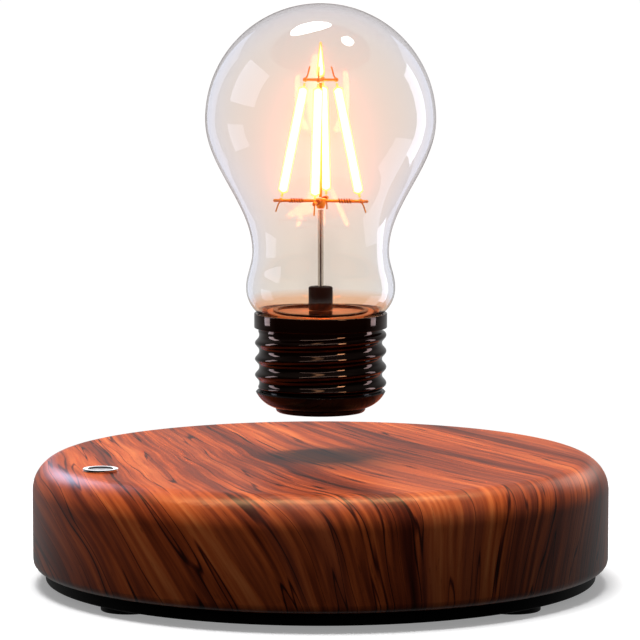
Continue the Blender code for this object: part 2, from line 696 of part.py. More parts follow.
def main_board(shop, frame):
    """The round board with a tongue under the power socket, and the screws that hold it."""
    board = shop.cylinder("main_board", BOARD_RADIUS, BOARD_BOTTOM, BOARD_TOP, PLATE_SEGMENTS)
    tongue_end = SOCKET_FRONT - FIT
    tongue_start = BOARD_RADIUS - TONGUE_WIDTH
    tongue_size = (TONGUE_WIDTH, tongue_end - tongue_start, BOARD_THICKNESS)
    tongue_centre = (0, (tongue_end + tongue_start) / 2, (BOARD_BOTTOM + BOARD_TOP) / 2)
    shop.join(board, shop.box("board_tongue", tongue_size, tongue_centre))
    for i, angle in enumerate(around(STANDOFF_COUNT, STANDOFF_ANGLE)):
        hole = shop.cylinder(
            f"board_hole_{i + 1}",
            BOARD_SCREW_RADIUS + FIT,
            BOARD_BOTTOM - OVERRUN,
            BOARD_TOP + OVERRUN,
            WIRE_SEGMENTS,
        )
        hole.location = on_circle(STANDOFF_CIRCLE, angle)
        shop.cut(board, hole)
    shop.finish(board, BOARD_GREEN, frame)
    for i, angle in enumerate(around(STANDOFF_COUNT, STANDOFF_ANGLE)):
        head = (BOARD_SCREW_HEAD_RADIUS, BOARD_SCREW_HEAD_HEIGHT)
        screw = plain_screw(shop, f"board_screw_{i + 1}", BOARD_SCREW_RADIUS, BOARD_SCREW_LENGTH, *head)
        screw.rotation_euler.x = pi
        screw.location = on_circle(STANDOFF_CIRCLE, angle, ON_BOARD)
        shop.finish(screw, ZINC_STEEL, frame)


def levitation_drive(shop, frame):
    """Four electromagnets on iron cores, the ring magnet round them and the sensors in the middle."""
    top = ON_BOARD + BOBBIN_HEIGHT
    bore = CORE_RADIUS + FIT
    winding = BOBBIN_RADIUS - WINDING_STEP
    bobbin = [
        (bore, top),
        (BOBBIN_RADIUS, top),
        (BOBBIN_RADIUS, top - BOBBIN_FLANGE),
        (winding, top - BOBBIN_FLANGE),
        (winding, ON_BOARD + BOBBIN_FLANGE),
        (BOBBIN_RADIUS, ON_BOARD + BOBBIN_FLANGE),
        (BOBBIN_RADIUS, ON_BOARD),
        (bore, ON_BOARD),
    ]
    core = [
        (0, top),
        (CORE_RADIUS - CORE_CHAMFER, top),
        (CORE_RADIUS, top - CORE_CHAMFER),
        (CORE_RADIUS, ON_BOARD),
        (0, ON_BOARD),
    ]
    for i, angle in enumerate(around(MAGNET_COUNT, 0.0)):
        coil = shop.turned(f"electromagnet_{i + 1}", bobbin, SMALL_SEGMENTS, closed=True)
        slug = shop.turned(f"magnet_core_{i + 1}", core, SMALL_SEGMENTS)
        for item, finish in ((coil, COPPER_WINDING), (slug, CORE_IRON)):
            item.location = on_circle(MAGNET_CIRCLE, angle)
            shop.finish(item, finish, frame)
    ring = ring_profile(RING_MAGNET_INNER, RING_MAGNET_OUTER, ON_BOARD, ON_BOARD + RING_MAGNET_HEIGHT)
    shop.finish(shop.turned("ring_magnet", ring, PLATE_SEGMENTS, closed=True), FERRITE_GREY, frame)
    sensors(shop, frame)


def sensors(shop, frame):
    """A plastic holder with two pockets in its top, and the magnetic sensor in each."""
    holder_top = ON_BOARD + SENSOR_HOLDER_HEIGHT
    pocket_floor = holder_top - SENSOR_SEAT
    holder = shop.box(
        "sensor_holder",
        (SENSOR_HOLDER_SIDE, SENSOR_HOLDER_SIDE, SENSOR_HOLDER_HEIGHT),
        (0, 0, (ON_BOARD + holder_top) / 2),
    )
    places = [("sensor_left", -SENSOR_PITCH / 2), ("sensor_right", SENSOR_PITCH / 2)]
    for name, offset in places:
        pocket_size = (SENSOR_WIDTH + 2 * FIT, SENSOR_DEPTH + 2 * FIT, SENSOR_SEAT + OVERRUN)
        pocket_height = (pocket_floor + holder_top + OVERRUN) / 2
        pocket = shop.box(f"{name}_pocket", pocket_size, (0, offset, pocket_height))
        shop.cut(holder, pocket)
    shop.finish(holder, MOULDED_BLACK, frame)
    for name, offset in places:
        centre = (0, offset, pocket_floor + FIT + SENSOR_HEIGHT / 2)
        sensor = shop.box(name, (SENSOR_WIDTH, SENSOR_DEPTH, SENSOR_HEIGHT), centre, SENSOR_EDGE)
        shop.finish(sensor, MOULDED_BLACK, frame)


def power_transmitter(shop, frame):
    """The flat coil under the wooden top, its ferrite backing and its two leads to the board."""
    coil = ring_profile(TRANSMIT_INNER, TRANSMIT_OUTER, TRANSMIT_TOP - TRANSMIT_HEIGHT, TRANSMIT_TOP)
    shop.finish(shop.turned("transmit_coil", coil, PLATE_SEGMENTS, closed=True), COPPER_WINDING, frame)
    carrier = ring_profile(CARRIER_INNER, TRANSMIT_OUTER, CARRIER_TOP - CARRIER_HEIGHT, CARRIER_TOP)
    shop.finish(shop.turned("coil_carrier", carrier, PLATE_SEGMENTS, closed=True), FERRITE_GREY, frame)
    start_height = TRANSMIT_TOP - TRANSMIT_HEIGHT / 2
    for i, angle in enumerate(LEAD_ANGLES):
        route = [
            on_circle(TRANSMIT_OUTER + FIT, angle, start_height),
            on_circle((TRANSMIT_OUTER + FIT + LEAD_CIRCLE) / 2, angle, start_height),
            on_circle(LEAD_CIRCLE, angle, start_height - LEAD_DIP / 2),
            on_circle(LEAD_CIRCLE, angle, start_height - LEAD_DIP),
            on_circle(LEAD_CIRCLE, angle, ON_BOARD),
        ]
        shop.finish(shop.wire(f"coil_lead_{i + 1}", route, LEAD_RADIUS), COPPER_WINDING, frame)


def board_parts(shop, frame):
    """A control chip, two driver chips and a capacitor in the free corners between the coils."""
    corners = around(MAGNET_COUNT, PART_ANGLE)
    for name, angle in zip(("driver_chip_1", "control_chip", "driver_chip_2"), corners[1:]):
        size = (CHIP_SIDE, CHIP_SIDE, CHIP_HEIGHT)
        chip = shop.box(name, size, (0, 0, ON_BOARD + CHIP_HEIGHT / 2), CHIP_EDGE)
        chip.location = on_circle(PART_CIRCLE, angle)
        shop.finish(chip, MOULDED_BLACK, frame)
    capacitor = capacitor_can(shop, "board_capacitor", CAPACITOR_RADIUS, ON_BOARD, CAPACITOR_HEIGHT)
    capacitor.location = on_circle(PART_CIRCLE, corners[0])
    shop.finish(capacitor, CAPACITOR_SLEEVE, frame)


def capacitor_can(shop, name, radius, bottom, height):
    top = bottom + height
    profile = [(0, top), (radius - CAPACITOR_CHAMFER, top), (radius, top - CAPACITOR_CHAMFER)]
    profile += [(radius, bottom), (0, bottom)]
    return shop.turned(name, profile, SMALL_SEGMENTS)


def power_socket(shop, frame):
    """The socket on the board's tongue: a block, a round nose in the wooden wall, a bore and its pin."""
    centre = (0, SOCKET_FRONT - SOCKET_LENGTH / 2, ON_BOARD + SOCKET_BODY_HEIGHT / 2)
    socket = shop.box("power_socket", (SOCKET_WIDTH, SOCKET_LENGTH, SOCKET_BODY_HEIGHT), centre, SOCKET_EDGE)
    nose_end = SOCKET_FRONT + SOCKET_NOSE_LENGTH
    nose = shop.cylinder("socket_nose", SOCKET_NOSE_RADIUS, SOCKET_FRONT - OVERRUN, nose_end, SMALL_SEGMENTS)
    bore_end = nose_end - SOCKET_BORE_DEPTH
    pin_end = nose_end - SOCKET_PIN_SETBACK
    bore_profile = [
        (0, nose_end + OVERRUN),
        (SOCKET_BORE_RADIUS, nose_end + OVERRUN),
        (SOCKET_BORE_RADIUS, bore_end),
        (SOCKET_PIN_RADIUS, bore_end),
        (SOCKET_PIN_RADIUS, pin_end - SOCKET_PIN_RADIUS),
        (0, pin_end),
    ]
    bore = shop.turned("socket_bore", bore_profile, SMALL_SEGMENTS)
    for tool in (nose, bore):
        tool.rotation_euler.x = -pi / 2
        tool.location.z = SOCKET_AXIS
    shop.join(socket, nose)
    shop.cut(socket, bore)
    shop.finish(socket, MOULDED_BLACK, frame)


def touch_switch(shop, frame):
    """The bezel through the wooden top, its nut below, the sensing pad in it and the pad's lead."""
    place = on_circle(SWITCH_CIRCLE, SWITCH_ANGLE)
    flange_bottom = WOOD_TOP + FIT
    flange_top = flange_bottom + BEZEL_FLANGE
    stem_bottom = CEILING - BEZEL_STEM_BELOW
    pad_seat = PAD_RADIUS + FIT
    shank_seat = PAD_SHANK_RADIUS + FIT
    pad_top = flange_top - PAD_SINK
    pad_bottom = pad_top - PAD_THICKNESS
    bezel = [
        (pad_seat, flange_top),
        (BEZEL_RADIUS - BEZEL_EDGE, flange_top),
        (BEZEL_RADIUS, flange_top - BEZEL_EDGE),
        (BEZEL_RADIUS, flange_bottom),
        (BEZEL_STEM_RADIUS, flange_bottom),
        (BEZEL_STEM_RADIUS, stem_bottom),
        (shank_seat, stem_bottom),
        (shank_seat, pad_bottom - FIT),
        (pad_seat, pad_bottom - FIT),
    ]
    shank_bottom = stem_bottom - PAD_SHANK_BELOW
    pad = [
        (0, pad_top),
        (PAD_RADIUS, pad_top),
        (PAD_RADIUS, pad_bottom),
        (PAD_SHANK_RADIUS, pad_bottom),
        (PAD_SHANK_RADIUS, shank_bottom),
        (0, shank_bottom),
    ]
    nut_top = CEILING - FIT
    nut = ring_profile(BEZEL_STEM_RADIUS + FIT, NUT_RADIUS, nut_top - NUT_HEIGHT, nut_top)
    pieces = (
        (shop.turned("touch_bezel", bezel, SMALL_SEGMENTS, closed=True), BRIGHT_BEZEL),
        (shop.turned("touch_pad", pad, SMALL_SEGMENTS), SWITCH_PAD),
        (shop.turned("touch_nut", nut, SMALL_SEGMENTS, closed=True), ZINC_STEEL),
    )
    for item, finish in pieces:
        item.location = place
        shop.finish(item, finish, frame)
    lead_top = shank_bottom - FIT
    bend = (lead_top + ON_BOARD) / 2
    route = [
        on_circle(SWITCH_CIRCLE, SWITCH_ANGLE, lead_top),
        on_circle(SWITCH_CIRCLE, SWITCH_ANGLE, lead_top - LEAD_DIP),
        on_circle((SWITCH_CIRCLE + SWITCH_LEAD_CIRCLE) / 2, SWITCH_ANGLE, bend),
        on_circle(SWITCH_LEAD_CIRCLE, SWITCH_ANGLE, ON_BOARD + LEAD_DIP),
        on_circle(SWITCH_LEAD_CIRCLE, SWITCH_ANGLE, ON_BOARD),
    ]
    shop.finish(shop.wire("touch_lead", route, LEAD_RADIUS), MOULDED_BLACK, frame)


def cap_base(shop, axis):
    """The black bottom of the cap: boss, bowl, and the cup wall that the threaded shell slides over."""
    boss_centre = (BOSS_RADIUS - BOSS_ROUNDING, CAP_BOTTOM + BOSS_ROUNDING)
    inner = CUP_RADIUS - CUP_WALL
    ledge = CAP_BOTTOM + RECEIVER_LEDGE_HEIGHT
    floor = CAP_BOTTOM + CUP_FLOOR
    well = MAGNET_RADIUS + FIT
    profile = [
        (inner, CUP_RIM),
        (CUP_RADIUS, CUP_RIM),
        (CUP_RADIUS, BOWL_TOP),
        (BOWL_RADIUS - BOWL_LIP, BOWL_TOP),
        *bulged((BOWL_RADIUS, BOWL_TOP - BOWL_LIP), (BOWL_FOOT_RADIUS, BOWL_FOOT), BOWL_BULGE, BOWL_STEPS),
        (BOSS_RADIUS, BOWL_FOOT),
        *arc(boss_centre, BOSS_ROUNDING, 0, -pi / 2, FILLET_STEPS),
        (0, CAP_BOTTOM),
    ]
    profile = [(0, floor), (well, floor), (well, ledge), (inner, ledge), *profile]
    shop.finish(shop.turned("cap_base", profile, BULB_SEGMENTS), GLOSS_BLACK, axis)


def cap_contents(shop, axis):
    """The magnet that is held up, the receiving coil round it and the rectifier board above."""
    bottom = CAP_BOTTOM + CUP_FLOOR + FIT
    top = bottom + MAGNET_HEIGHT
    chamfered = MAGNET_RADIUS - MAGNET_CHAMFER
    magnet = [
        (0, top),
        (chamfered, top),
        (MAGNET_RADIUS, top - MAGNET_CHAMFER),
        (MAGNET_RADIUS, bottom + MAGNET_CHAMFER),
        (chamfered, bottom),
        (0, bottom),
    ]
    shop.finish(shop.turned("float_magnet", magnet, PLATE_SEGMENTS), NICKEL, axis)
    coil_bottom = CAP_BOTTOM + RECEIVER_LEDGE_HEIGHT + FIT
    coil = ring_profile(MAGNET_RADIUS + FIT, RECEIVER_RADIUS, coil_bottom, coil_bottom + RECEIVER_HEIGHT)
    shop.finish(shop.turned("receiver_coil", coil, PLATE_SEGMENTS, closed=True), COPPER_WINDING, axis)
    board = shop.cylinder("rectifier_board", CUP_RADIUS, RECTIFIER_BOTTOM, RECTIFIER_TOP, PLATE_SEGMENTS)
    shop.finish(board, BOARD_GREEN, axis)
    on_rectifier = RECTIFIER_TOP + FIT
    chip = shop.box(
        "rectifier_chip",
        (RECTIFIER_CHIP_SIDE, RECTIFIER_CHIP_SIDE, RECTIFIER_CHIP_HEIGHT),
        (RECTIFIER_PART_OFFSET, 0, on_rectifier + RECTIFIER_CHIP_HEIGHT / 2),
        CHIP_EDGE,
    )
    shop.finish(chip, MOULDED_BLACK, axis)
    can = capacitor_can(
        shop, "rectifier_capacitor", RECTIFIER_CAPACITOR_RADIUS, on_rectifier, RECTIFIER_CAPACITOR_HEIGHT
    )
    can.location.x = -RECTIFIER_PART_OFFSET
    shop.finish(can, CAPACITOR_SLEEVE, axis)


def thread_radius(height, turn):
    """Radius of the rolled thread, which runs out smoothly at both ends."""
    crest = SHELL_BOTTOM + THREAD_FIRST_CREST + THREAD_PITCH * turn / tau
    ridge = ((1 + cos(tau * (height - crest) / THREAD_PITCH)) / 2) ** THREAD_SHARPNESS_SHARE
    from_end = min(height - SHELL_BOTTOM, SHELL_THREAD_TOP - height) / THREAD_RUNOUT
    fade = (1 - cos(pi * max(0.0, min(1.0, from_end)))) / 2
    return THREAD_ROOT_RADIUS + THREAD_DEPTH * ridge * fade


def threaded_shell(shop, axis):
    """The rolled metal shell. A grid is wound into a right-handed helical sheet, so that its rows follow
    the thread, its ends are trimmed level, and the wall is then given its thickness inwards."""
    first_crest = SHELL_BOTTOM + THREAD_FIRST_CREST
    sheet_bottom = first_crest - 2 * THREAD_PITCH
    rows = ceil((SHELL_THREAD_TOP - sheet_bottom) / THREAD_PITCH * THREAD_ROWS_PER_PITCH)
    bm = bmesh.new()
    bmesh.ops.create_grid(bm, x_segments=BULB_SEGMENTS, y_segments=rows, size=1)
    for vertex in bm.verts:
        turn_share = (vertex.co.x + 1) / 2
        row = (vertex.co.y + 1) / 2 * rows
        raw = sheet_bottom + THREAD_PITCH * (row / THREAD_ROWS_PER_PITCH + turn_share)
        height = max(SHELL_BOTTOM, min(SHELL_THREAD_TOP, raw))
        turn = tau * turn_share
        vertex.co = on_circle(thread_radius(height, turn), turn, height)
    bmesh.ops.remove_doubles(bm, verts=bm.verts, dist=MERGE_DISTANCE)
    rim = [edge for edge in bm.edges if edge.is_boundary and edge.verts[0].co.z > SHELL_BOTTOM + THREAD_PITCH]
    band = bmesh.ops.extrude_edge_only(bm, edges=rim)["geom"]
    raised = [part for part in band if isinstance(part, bmesh.types.BMVert)]
    bmesh.ops.translate(bm, verts=raised, vec=(0, 0, SHELL_TOP_BAND))
    bmesh.ops.recalc_face_normals(bm, faces=bm.faces)
    shell = shop.from_bmesh("cap_shell", bm)
    wall = shell.modifiers.new("wall", "SOLIDIFY")
    wall.thickness = SHELL_WALL
    wall.offset = -1
    shop.finish(shell, BLACK_NICKEL, axis)


def collar(shop, axis):
    inner = THREAD_ROOT_RADIUS + FIT
    profile = [
        (inner, COLLAR_TOP - COLLAR_CHAMFER),
        (inner + COLLAR_CHAMFER, COLLAR_TOP),
        (COLLAR_RADIUS - COLLAR_EDGE, COLLAR_TOP),
        (COLLAR_RADIUS, COLLAR_TOP - COLLAR_EDGE),
        (COLLAR_RADIUS, COLLAR_BOTTOM),
        (inner, COLLAR_BOTTOM),
    ]
    shop.finish(shop.turned("cap_collar", profile, BULB_SEGMENTS, closed=True), BLACK_NICKEL, axis)


def glass_envelope(shop, axis):
    """The blown glass: dome, flank, waist, lower bulge and the straight neck inside the cap."""
    neck = CUP_RADIUS
    bulge_centre = (BULGE_RADIUS - BULGE_CURVE, BULGE_HEIGHT)
    neck_turn = -acos((neck - bulge_centre[0]) / BULGE_CURVE)
    outline = [
        *reversed(arc((0, GLOBE_HEIGHT), GLOBE_RADIUS, 0, pi / 2, DOME_STEPS)),
        *eased((GLOBE_RADIUS, GLOBE_HEIGHT), (WAIST_RADIUS, WAIST_HEIGHT), FLANK_STEPS),
        *eased((WAIST_RADIUS, WAIST_HEIGHT), (BULGE_RADIUS, BULGE_HEIGHT), WAIST_STEPS),
        *arc(bulge_centre, BULGE_CURVE, 0, neck_turn, BULGE_STEPS)[1:],
        (neck, NECK_END),
    ]
    glass = shop.turned("glass_envelope", outline, BULB_SEGMENTS)
    wall = glass.modifiers.new("wall", "SOLIDIFY")
    wall.thickness = GLASS_WALL
    wall.offset = -1
    shop.finish(glass, CLEAR_GLASS, axis)


def deck_and_post(shop, axis):
    """The copper deck in the neck, which stands on the board, and the black post with the rod in it."""
    skirt_inner = DECK_RADIUS - DECK_SKIRT_WALL
    flange_top = DECK_BOTTOM + DECK_FLANGE
    under = DECK_TOP - DECK_PLATE
    ring_top = DECK_TOP + DECK_RING_HEIGHT
    deck = [
        (0, DECK_TOP),
        (DECK_RING_INNER, DECK_TOP),
        (DECK_RING_INNER, ring_top),
        (DECK_RING_OUTER, ring_top),
        (DECK_RING_OUTER, DECK_TOP),
        (DECK_RADIUS - DECK_ROUNDING, DECK_TOP),
        (DECK_RADIUS, DECK_TOP - DECK_ROUNDING),
        (DECK_RADIUS, flange_top),
        (CUP_RADIUS, flange_top),
        (CUP_RADIUS, DECK_BOTTOM),
        (skirt_inner, DECK_BOTTOM),
        (skirt_inner, under),
        (0, under),
    ]
    shop.finish(shop.turned("cap_deck", deck, PLATE_SEGMENTS), COPPER_DECK, axis)
    socket_floor = POST_TOP - POST_SOCKET_DEPTH
    shoulder = (POST_RADIUS - POST_ROUNDING, POST_TOP - POST_ROUNDING)
    post = [
        (0, socket_floor),
        (ROD_RADIUS + FIT, socket_floor),
        (ROD_RADIUS + FIT, POST_TOP),
        *arc(shoulder, POST_ROUNDING, pi / 2, 0, FILLET_STEPS),
        (POST_RADIUS, POST_BOTTOM),
        (0, POST_BOTTOM),
    ]
    shop.finish(shop.turned("stem_post", post, SMALL_SEGMENTS), SATIN_BLACK, axis)
    rod = shop.cylinder("stem_rod", ROD_RADIUS, ROD_BOTTOM, ROD_TOP, WIRE_SEGMENTS)
    shop.finish(rod, NICKEL, axis)


def spider(shop, axis, hub, hub_place, reaches, hook_end):
    """Arms on a hub, with a knob under or over each filament's foot and a hooked wire beyond it."""
    hub_radius, arms_height = hub_place
    reach, seat_reach = reaches
    name = hub.name
    for i, angle in enumerate(around(ARM_COUNT, ARM_TURN)):
        ends = [on_circle(hub_radius / 2, angle, arms_height), on_circle(reach, angle, arms_height)]
        arm = shop.wire(f"{name}_arm_{i + 1}", ends, ARM_RADIUS)
        knob = shop.ball(f"{name}_knob_{i + 1}", KNOB_RADIUS, on_circle(seat_reach, angle, arms_height))
        hook = shop.wire(
            f"{name}_hook_{i + 1}",
            [
                on_circle(seat_reach, angle, arms_height),
                on_circle(seat_reach + hook_end[0] / 2, angle, arms_height + hook_end[1] * HOOK_BEND_SHARE),
                on_circle(seat_reach + hook_end[0], angle, arms_height + hook_end[1]),
            ],
            HOOK_RADIUS,
        )
        for piece in (arm, knob, hook):
            shop.join_fine(hub, piece)
    shop.finish(hub, GOLD_WIRE, axis)


def filament_frame(shop, axis):
    """Both spiders and the wire between their hubs."""
    lower_profile = [
        (0, LOWER_HUB_TOP),
        (HUB_RADIUS, LOWER_HUB_TOP),
        (HUB_RADIUS, LOWER_HUB_BOTTOM + HUB_TIP_HEIGHT),
        (HUB_TIP_RADIUS, LOWER_HUB_BOTTOM),
        (0, LOWER_HUB_BOTTOM),
    ]
    lower = shop.turned("lower_spider", lower_profile, SMALL_SEGMENTS)
    drop = (LOWER_HOOK_OUT, -LOWER_HOOK_DROP)
    spider(shop, axis, lower, (HUB_RADIUS, LOWER_ARMS), (LOWER_ARM_REACH, LOWER_SEAT_REACH), drop)
    upper = shop.cylinder("upper_spider", UPPER_HUB_RADIUS, UPPER_HUB_BOTTOM, UPPER_HUB_TOP, SMALL_SEGMENTS)
    rise = (-UPPER_HOOK_IN, UPPER_HOOK_RISE)
    spider(shop, axis, upper, (UPPER_HUB_RADIUS, UPPER_ARMS), (UPPER_ARM_REACH, UPPER_SEAT_REACH), rise)
    wire = shop.cylinder(
        "support_wire", SUPPORT_WIRE_RADIUS, LOWER_HUB_TOP + FIT, UPPER_HUB_BOTTOM - FIT, WIRE_SEGMENTS
    )
    shop.finish(wire, GOLD_WIRE, axis)


def filaments(shop, axis):
    """Four slanted light filaments from spider to spider, and the short one that stands on the upper hub."""
    names = ("filament_right", "filament_back", "filament_left", "filament_front")
    gap = KNOB_RADIUS + FIT
    run = Vector((UPPER_SEAT_REACH - LOWER_SEAT_REACH, 0, UPPER_ARMS - LOWER_ARMS))
    length = run.length - 2 * gap
    taper_end = FILAMENT_PIN_LENGTH + FILAMENT_TAPER
    profile = [
        (0, length),
        (FILAMENT_PIN_RADIUS, length),
        (FILAMENT_PIN_RADIUS, length - FILAMENT_PIN_LENGTH),
        (FILAMENT_RADIUS, length - taper_end),
        (FILAMENT_RADIUS, taper_end),
        (FILAMENT_PIN_RADIUS, FILAMENT_PIN_LENGTH),
        (FILAMENT_PIN_RADIUS, 0),
        (0, 0),
    ]
    lean = atan2(run.x, run.z)
    for name, angle in zip(names, around(ARM_COUNT, ARM_TURN)):
        filament = shop.turned(name, profile, WIRE_SEGMENTS)
        start = Vector((LOWER_SEAT_REACH, 0, LOWER_ARMS)) + run.normalized() * gap
        turn = Matrix.Rotation(angle, 4, "Z")
        filament.location = turn @ start
        filament.rotation_euler = (turn @ Matrix.Rotation(lean, 4, "Y")).to_euler()
        shop.finish(filament, LIT_FILAMENT, axis)
    bottom = UPPER_HUB_TOP + FIT
    top = bottom + TIP_FILAMENT_HEIGHT
    tip = [
        (0, top),
        (TIP_FILAMENT_POINT, top - TIP_FILAMENT_POINT),
        (TIP_FILAMENT_RADIUS, bottom + TIP_FILAMENT_RADIUS),
        (UPPER_HUB_RADIUS, bottom),
        (0, bottom),
    ]
    shop.finish(shop.turned("filament_tip", tip, WIRE_SEGMENTS), LIT_FILAMENT, axis)


def main():
    clear_scene()
    shop = Workshop()
    frame = shop.empty("base_frame")
    axis = shop.empty("bulb_axis", CAP_BOTTOM)
    for build in (
        wooden_body,
        bottom_tray,
        feet,
        tray_screws,
        main_board,
        levitation_drive,
        power_transmitter,
        board_parts,
        power_socket,
        touch_switch,
    ):
        build(shop, frame)
    for build in (
        cap_base,
        cap_contents,
        threaded_shell,
        collar,
        glass_envelope,
        deck_and_post,
        filament_frame,
        filaments,
    ):
        build(shop, axis)
    print(f"bulb top {GLOBE_HEIGHT + GLOBE_RADIUS:.4f} m, float gap {FLOAT_GAP:.4f} m")


main()
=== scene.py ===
"""Levitating bulb lamp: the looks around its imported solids, in metres and in the same frame.

A turned walnut base stands on a black tray. A threaded cap with a clear bulb floats over it,
and four slanted light filaments and a short upright one glow between two spiders in the bulb.
"""

import logging
import math
from dataclasses import dataclass
from enum import Enum, IntEnum
from typing import ClassVar

import bmesh
import bpy
from mathutils import Matrix, Vector


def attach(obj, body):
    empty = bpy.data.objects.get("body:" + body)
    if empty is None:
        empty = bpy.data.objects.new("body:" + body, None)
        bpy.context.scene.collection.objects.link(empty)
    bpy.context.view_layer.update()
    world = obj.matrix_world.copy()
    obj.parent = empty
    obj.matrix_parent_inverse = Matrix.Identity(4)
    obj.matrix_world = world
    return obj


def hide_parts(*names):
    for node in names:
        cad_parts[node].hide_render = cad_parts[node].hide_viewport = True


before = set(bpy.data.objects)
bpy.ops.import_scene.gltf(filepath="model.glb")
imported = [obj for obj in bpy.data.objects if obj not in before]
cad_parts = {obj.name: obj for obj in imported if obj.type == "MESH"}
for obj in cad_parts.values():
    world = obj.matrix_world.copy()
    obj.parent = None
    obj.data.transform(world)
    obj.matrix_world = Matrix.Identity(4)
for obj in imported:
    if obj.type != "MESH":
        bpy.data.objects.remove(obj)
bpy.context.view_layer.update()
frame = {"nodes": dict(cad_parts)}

MM = 0.001
PER_MM = 1 / MM
MERGE_MM = 0.0004
CREASE_DEG = 32.0
LOG = logging.getLogger("lamp")

Colour = tuple[float, float, float, float]
Socket = bpy.types.NodeSocket
Point = tuple[float, ...]
Pair = tuple[float, float]
Triple = tuple[float, float, float]


class Body(Enum):
    """The CAD bodies that a piece can ride on."""

    BASE = "base"
    MAGNET = "magnet"
    BULB = "bulb"


class Facets(IntEnum):
    """How many facets go round a turned shape, by what it is."""

    THREAD = 216
    BODY = 180
    CAP = 144
    SWITCH = 96
    POST = 72
    FOOT = 64
    SCREW = 48
    PIN = 32
    WIRE = 24


class Rays(Enum):
    """Which rays meet a studio lamp besides the light that it gives: (mirrored, through glass, bounced)."""

    NONE = (False, False, True)
    ACCENT = (True, False, True)


def polar(radius: float, angle_deg: float, height: float = 0.0) -> Vector:
    """A point on a circle round the Z axis."""
    angle = math.radians(angle_deg)
    return Vector((radius * math.cos(angle), radius * math.sin(angle), height))


class Side(Enum):
    """Where a slanted filament stands, with the angle of its spider arm in degrees."""

    RIGHT = -8.2
    BACK = 81.8
    LEFT = 171.8
    FRONT = 261.8

    def at(self, radius: float, height: float) -> Vector:
        """A point on this side."""
        return polar(radius, self.value, height)


def linear(code: str) -> Colour:
    """Turns an sRGB hex colour to linear.

    Args:
        code: The colour as #rrggbb.

    Returns:
        Linear red, green and blue, and an alpha of one.
    """
    shares = [int(code[i : i + 2], 16) / 255 for i in (1, 3, 5)]
    red, green, blue = (c / 12.92 if c <= 0.04045 else ((c + 0.055) / 1.055) ** 2.4 for c in shares)
    return red, green, blue, 1.0


class Draw:
    """Adds nodes to one node tree."""

    def __init__(self, tree: bpy.types.NodeTree) -> None:
        """Empties the tree."""
        tree.nodes.clear()
        self.tree = tree

    @property
    def place(self) -> Socket:
        """The piece's Object coordinates, in metres."""
        return self.add("TexCoord").outputs["Object"]

    def add(self, kind: str, inputs: dict | None = None, **settings: object) -> bpy.types.Node:
        """Adds a node with its settings and links.

        Args:
            kind: The node's type after "ShaderNode", or the whole type of a compositor node.
            inputs: A value, or an output socket to link, for each input by name or number.
            settings: The node's own settings.

        Returns:
            The new node.
        """
        node = self.tree.nodes.new(kind if kind.startswith("Compositor") else "ShaderNode" + kind)
        for name, value in settings.items():
            setattr(node, name, value)
        for name, value in (inputs or {}).items():
            if isinstance(value, Socket):
                self.tree.links.new(value, node.inputs[name])
            else:
                node.inputs[name].default_value = value
        return node

    def noise(self, where: Socket, scale: float, detail: float = 1.0) -> Socket:
        """A cloudy value from place to place."""
        return self.add("TexNoise", {"Vector": where, "Scale": scale, "Detail": detail}).outputs[0]

    def calc(self, operation: str, *terms: Socket | float, **settings: object) -> Socket:
        """Works out one operation on its terms."""
        return self.add("Math", dict(enumerate(terms)), operation=operation, **settings).outputs[0]

    def span(self, value: Socket, source: tuple, target: tuple, **settings: object) -> Socket:
        """Maps the source range of a value to the target range."""
        inputs = dict(enumerate((value, *source, *target)))
        return self.add("MapRange", inputs, **settings).outputs[0]

    def stretch(self, where: Socket, factors: Triple) -> Socket:
        """Scales coordinates on each axis."""
        return self.add("VectorMath", {0: where, 1: factors}, operation="MULTIPLY").outputs[0]

    def ramp(self, value: Socket, *stops: tuple[float, str]) -> Socket:
        """Gives a value colours.

        Args:
            value: What the colour follows.
            stops: Values with their colours as #rrggbb.

        Returns:
            The colour.
        """
        node = self.add("ValToRGB", {0: value})
        elements = node.color_ramp.elements
        for i, (place, code) in enumerate(stops):
            element = elements[i] if i < len(elements) else elements.new(place)
            element.position, element.color = place, linear(code)
        return node.outputs[0]

    def mix(self, share: Socket, under: Socket, code: str) -> Socket:
        """Lays a share of a plain colour over another colour."""
        return self.add("Mix", {0: share, 6: under, 7: linear(code)}, data_type="RGBA").outputs[2]

    def bump(self, height: Socket, strength: float, depth_mm: float) -> Socket:
        """A relief that only the shading shows."""
        inputs = {"Strength": strength, "Distance": depth_mm * MM, "Height": height}
        return self.add("Bump", inputs).outputs[0]

    def skin(self, colour: Socket, rough: Socket | float, more: dict) -> Socket:
        """A Principled shader, with its further inputs by name."""
        return self.add("BsdfPrincipled", {"Base Color": colour, "Roughness": rough, **more}).outputs[0]

    def see_through(self, share: Socket | float, solid: Socket, code: str) -> Socket:
        """Makes a share of a shader a clear tint."""
        clear = self.add("BsdfTransparent", {"Color": linear(code)}).outputs[0]
        return self.add("MixShader", {0: share, 1: solid, 2: clear}).outputs[0]


# Finishes


UNIT = (0.0, 1.0)


@dataclass(frozen=True)
class Finish:
    """What every finish has: a name and a shader."""

    name: str

    def material(self) -> bpy.types.Material:
        """Gives the finish's material, made on its first use.

        Returns:
            The Blender material.
        """
        made = bpy.data.materials.get(self.name)
        if made is None:
            made = bpy.data.materials.new(self.name)
            made.use_nodes = True
            draw = Draw(made.node_tree)
            draw.add("OutputMaterial", {"Surface": self.surface(draw)})
        return made

    def surface(self, draw: Draw) -> Socket:
        """Draws the shader. The finishes below each say what theirs shows.

        Args:
            draw: Adds nodes to the material.

        Returns:
            The shader's output.
        """
        raise NotImplementedError


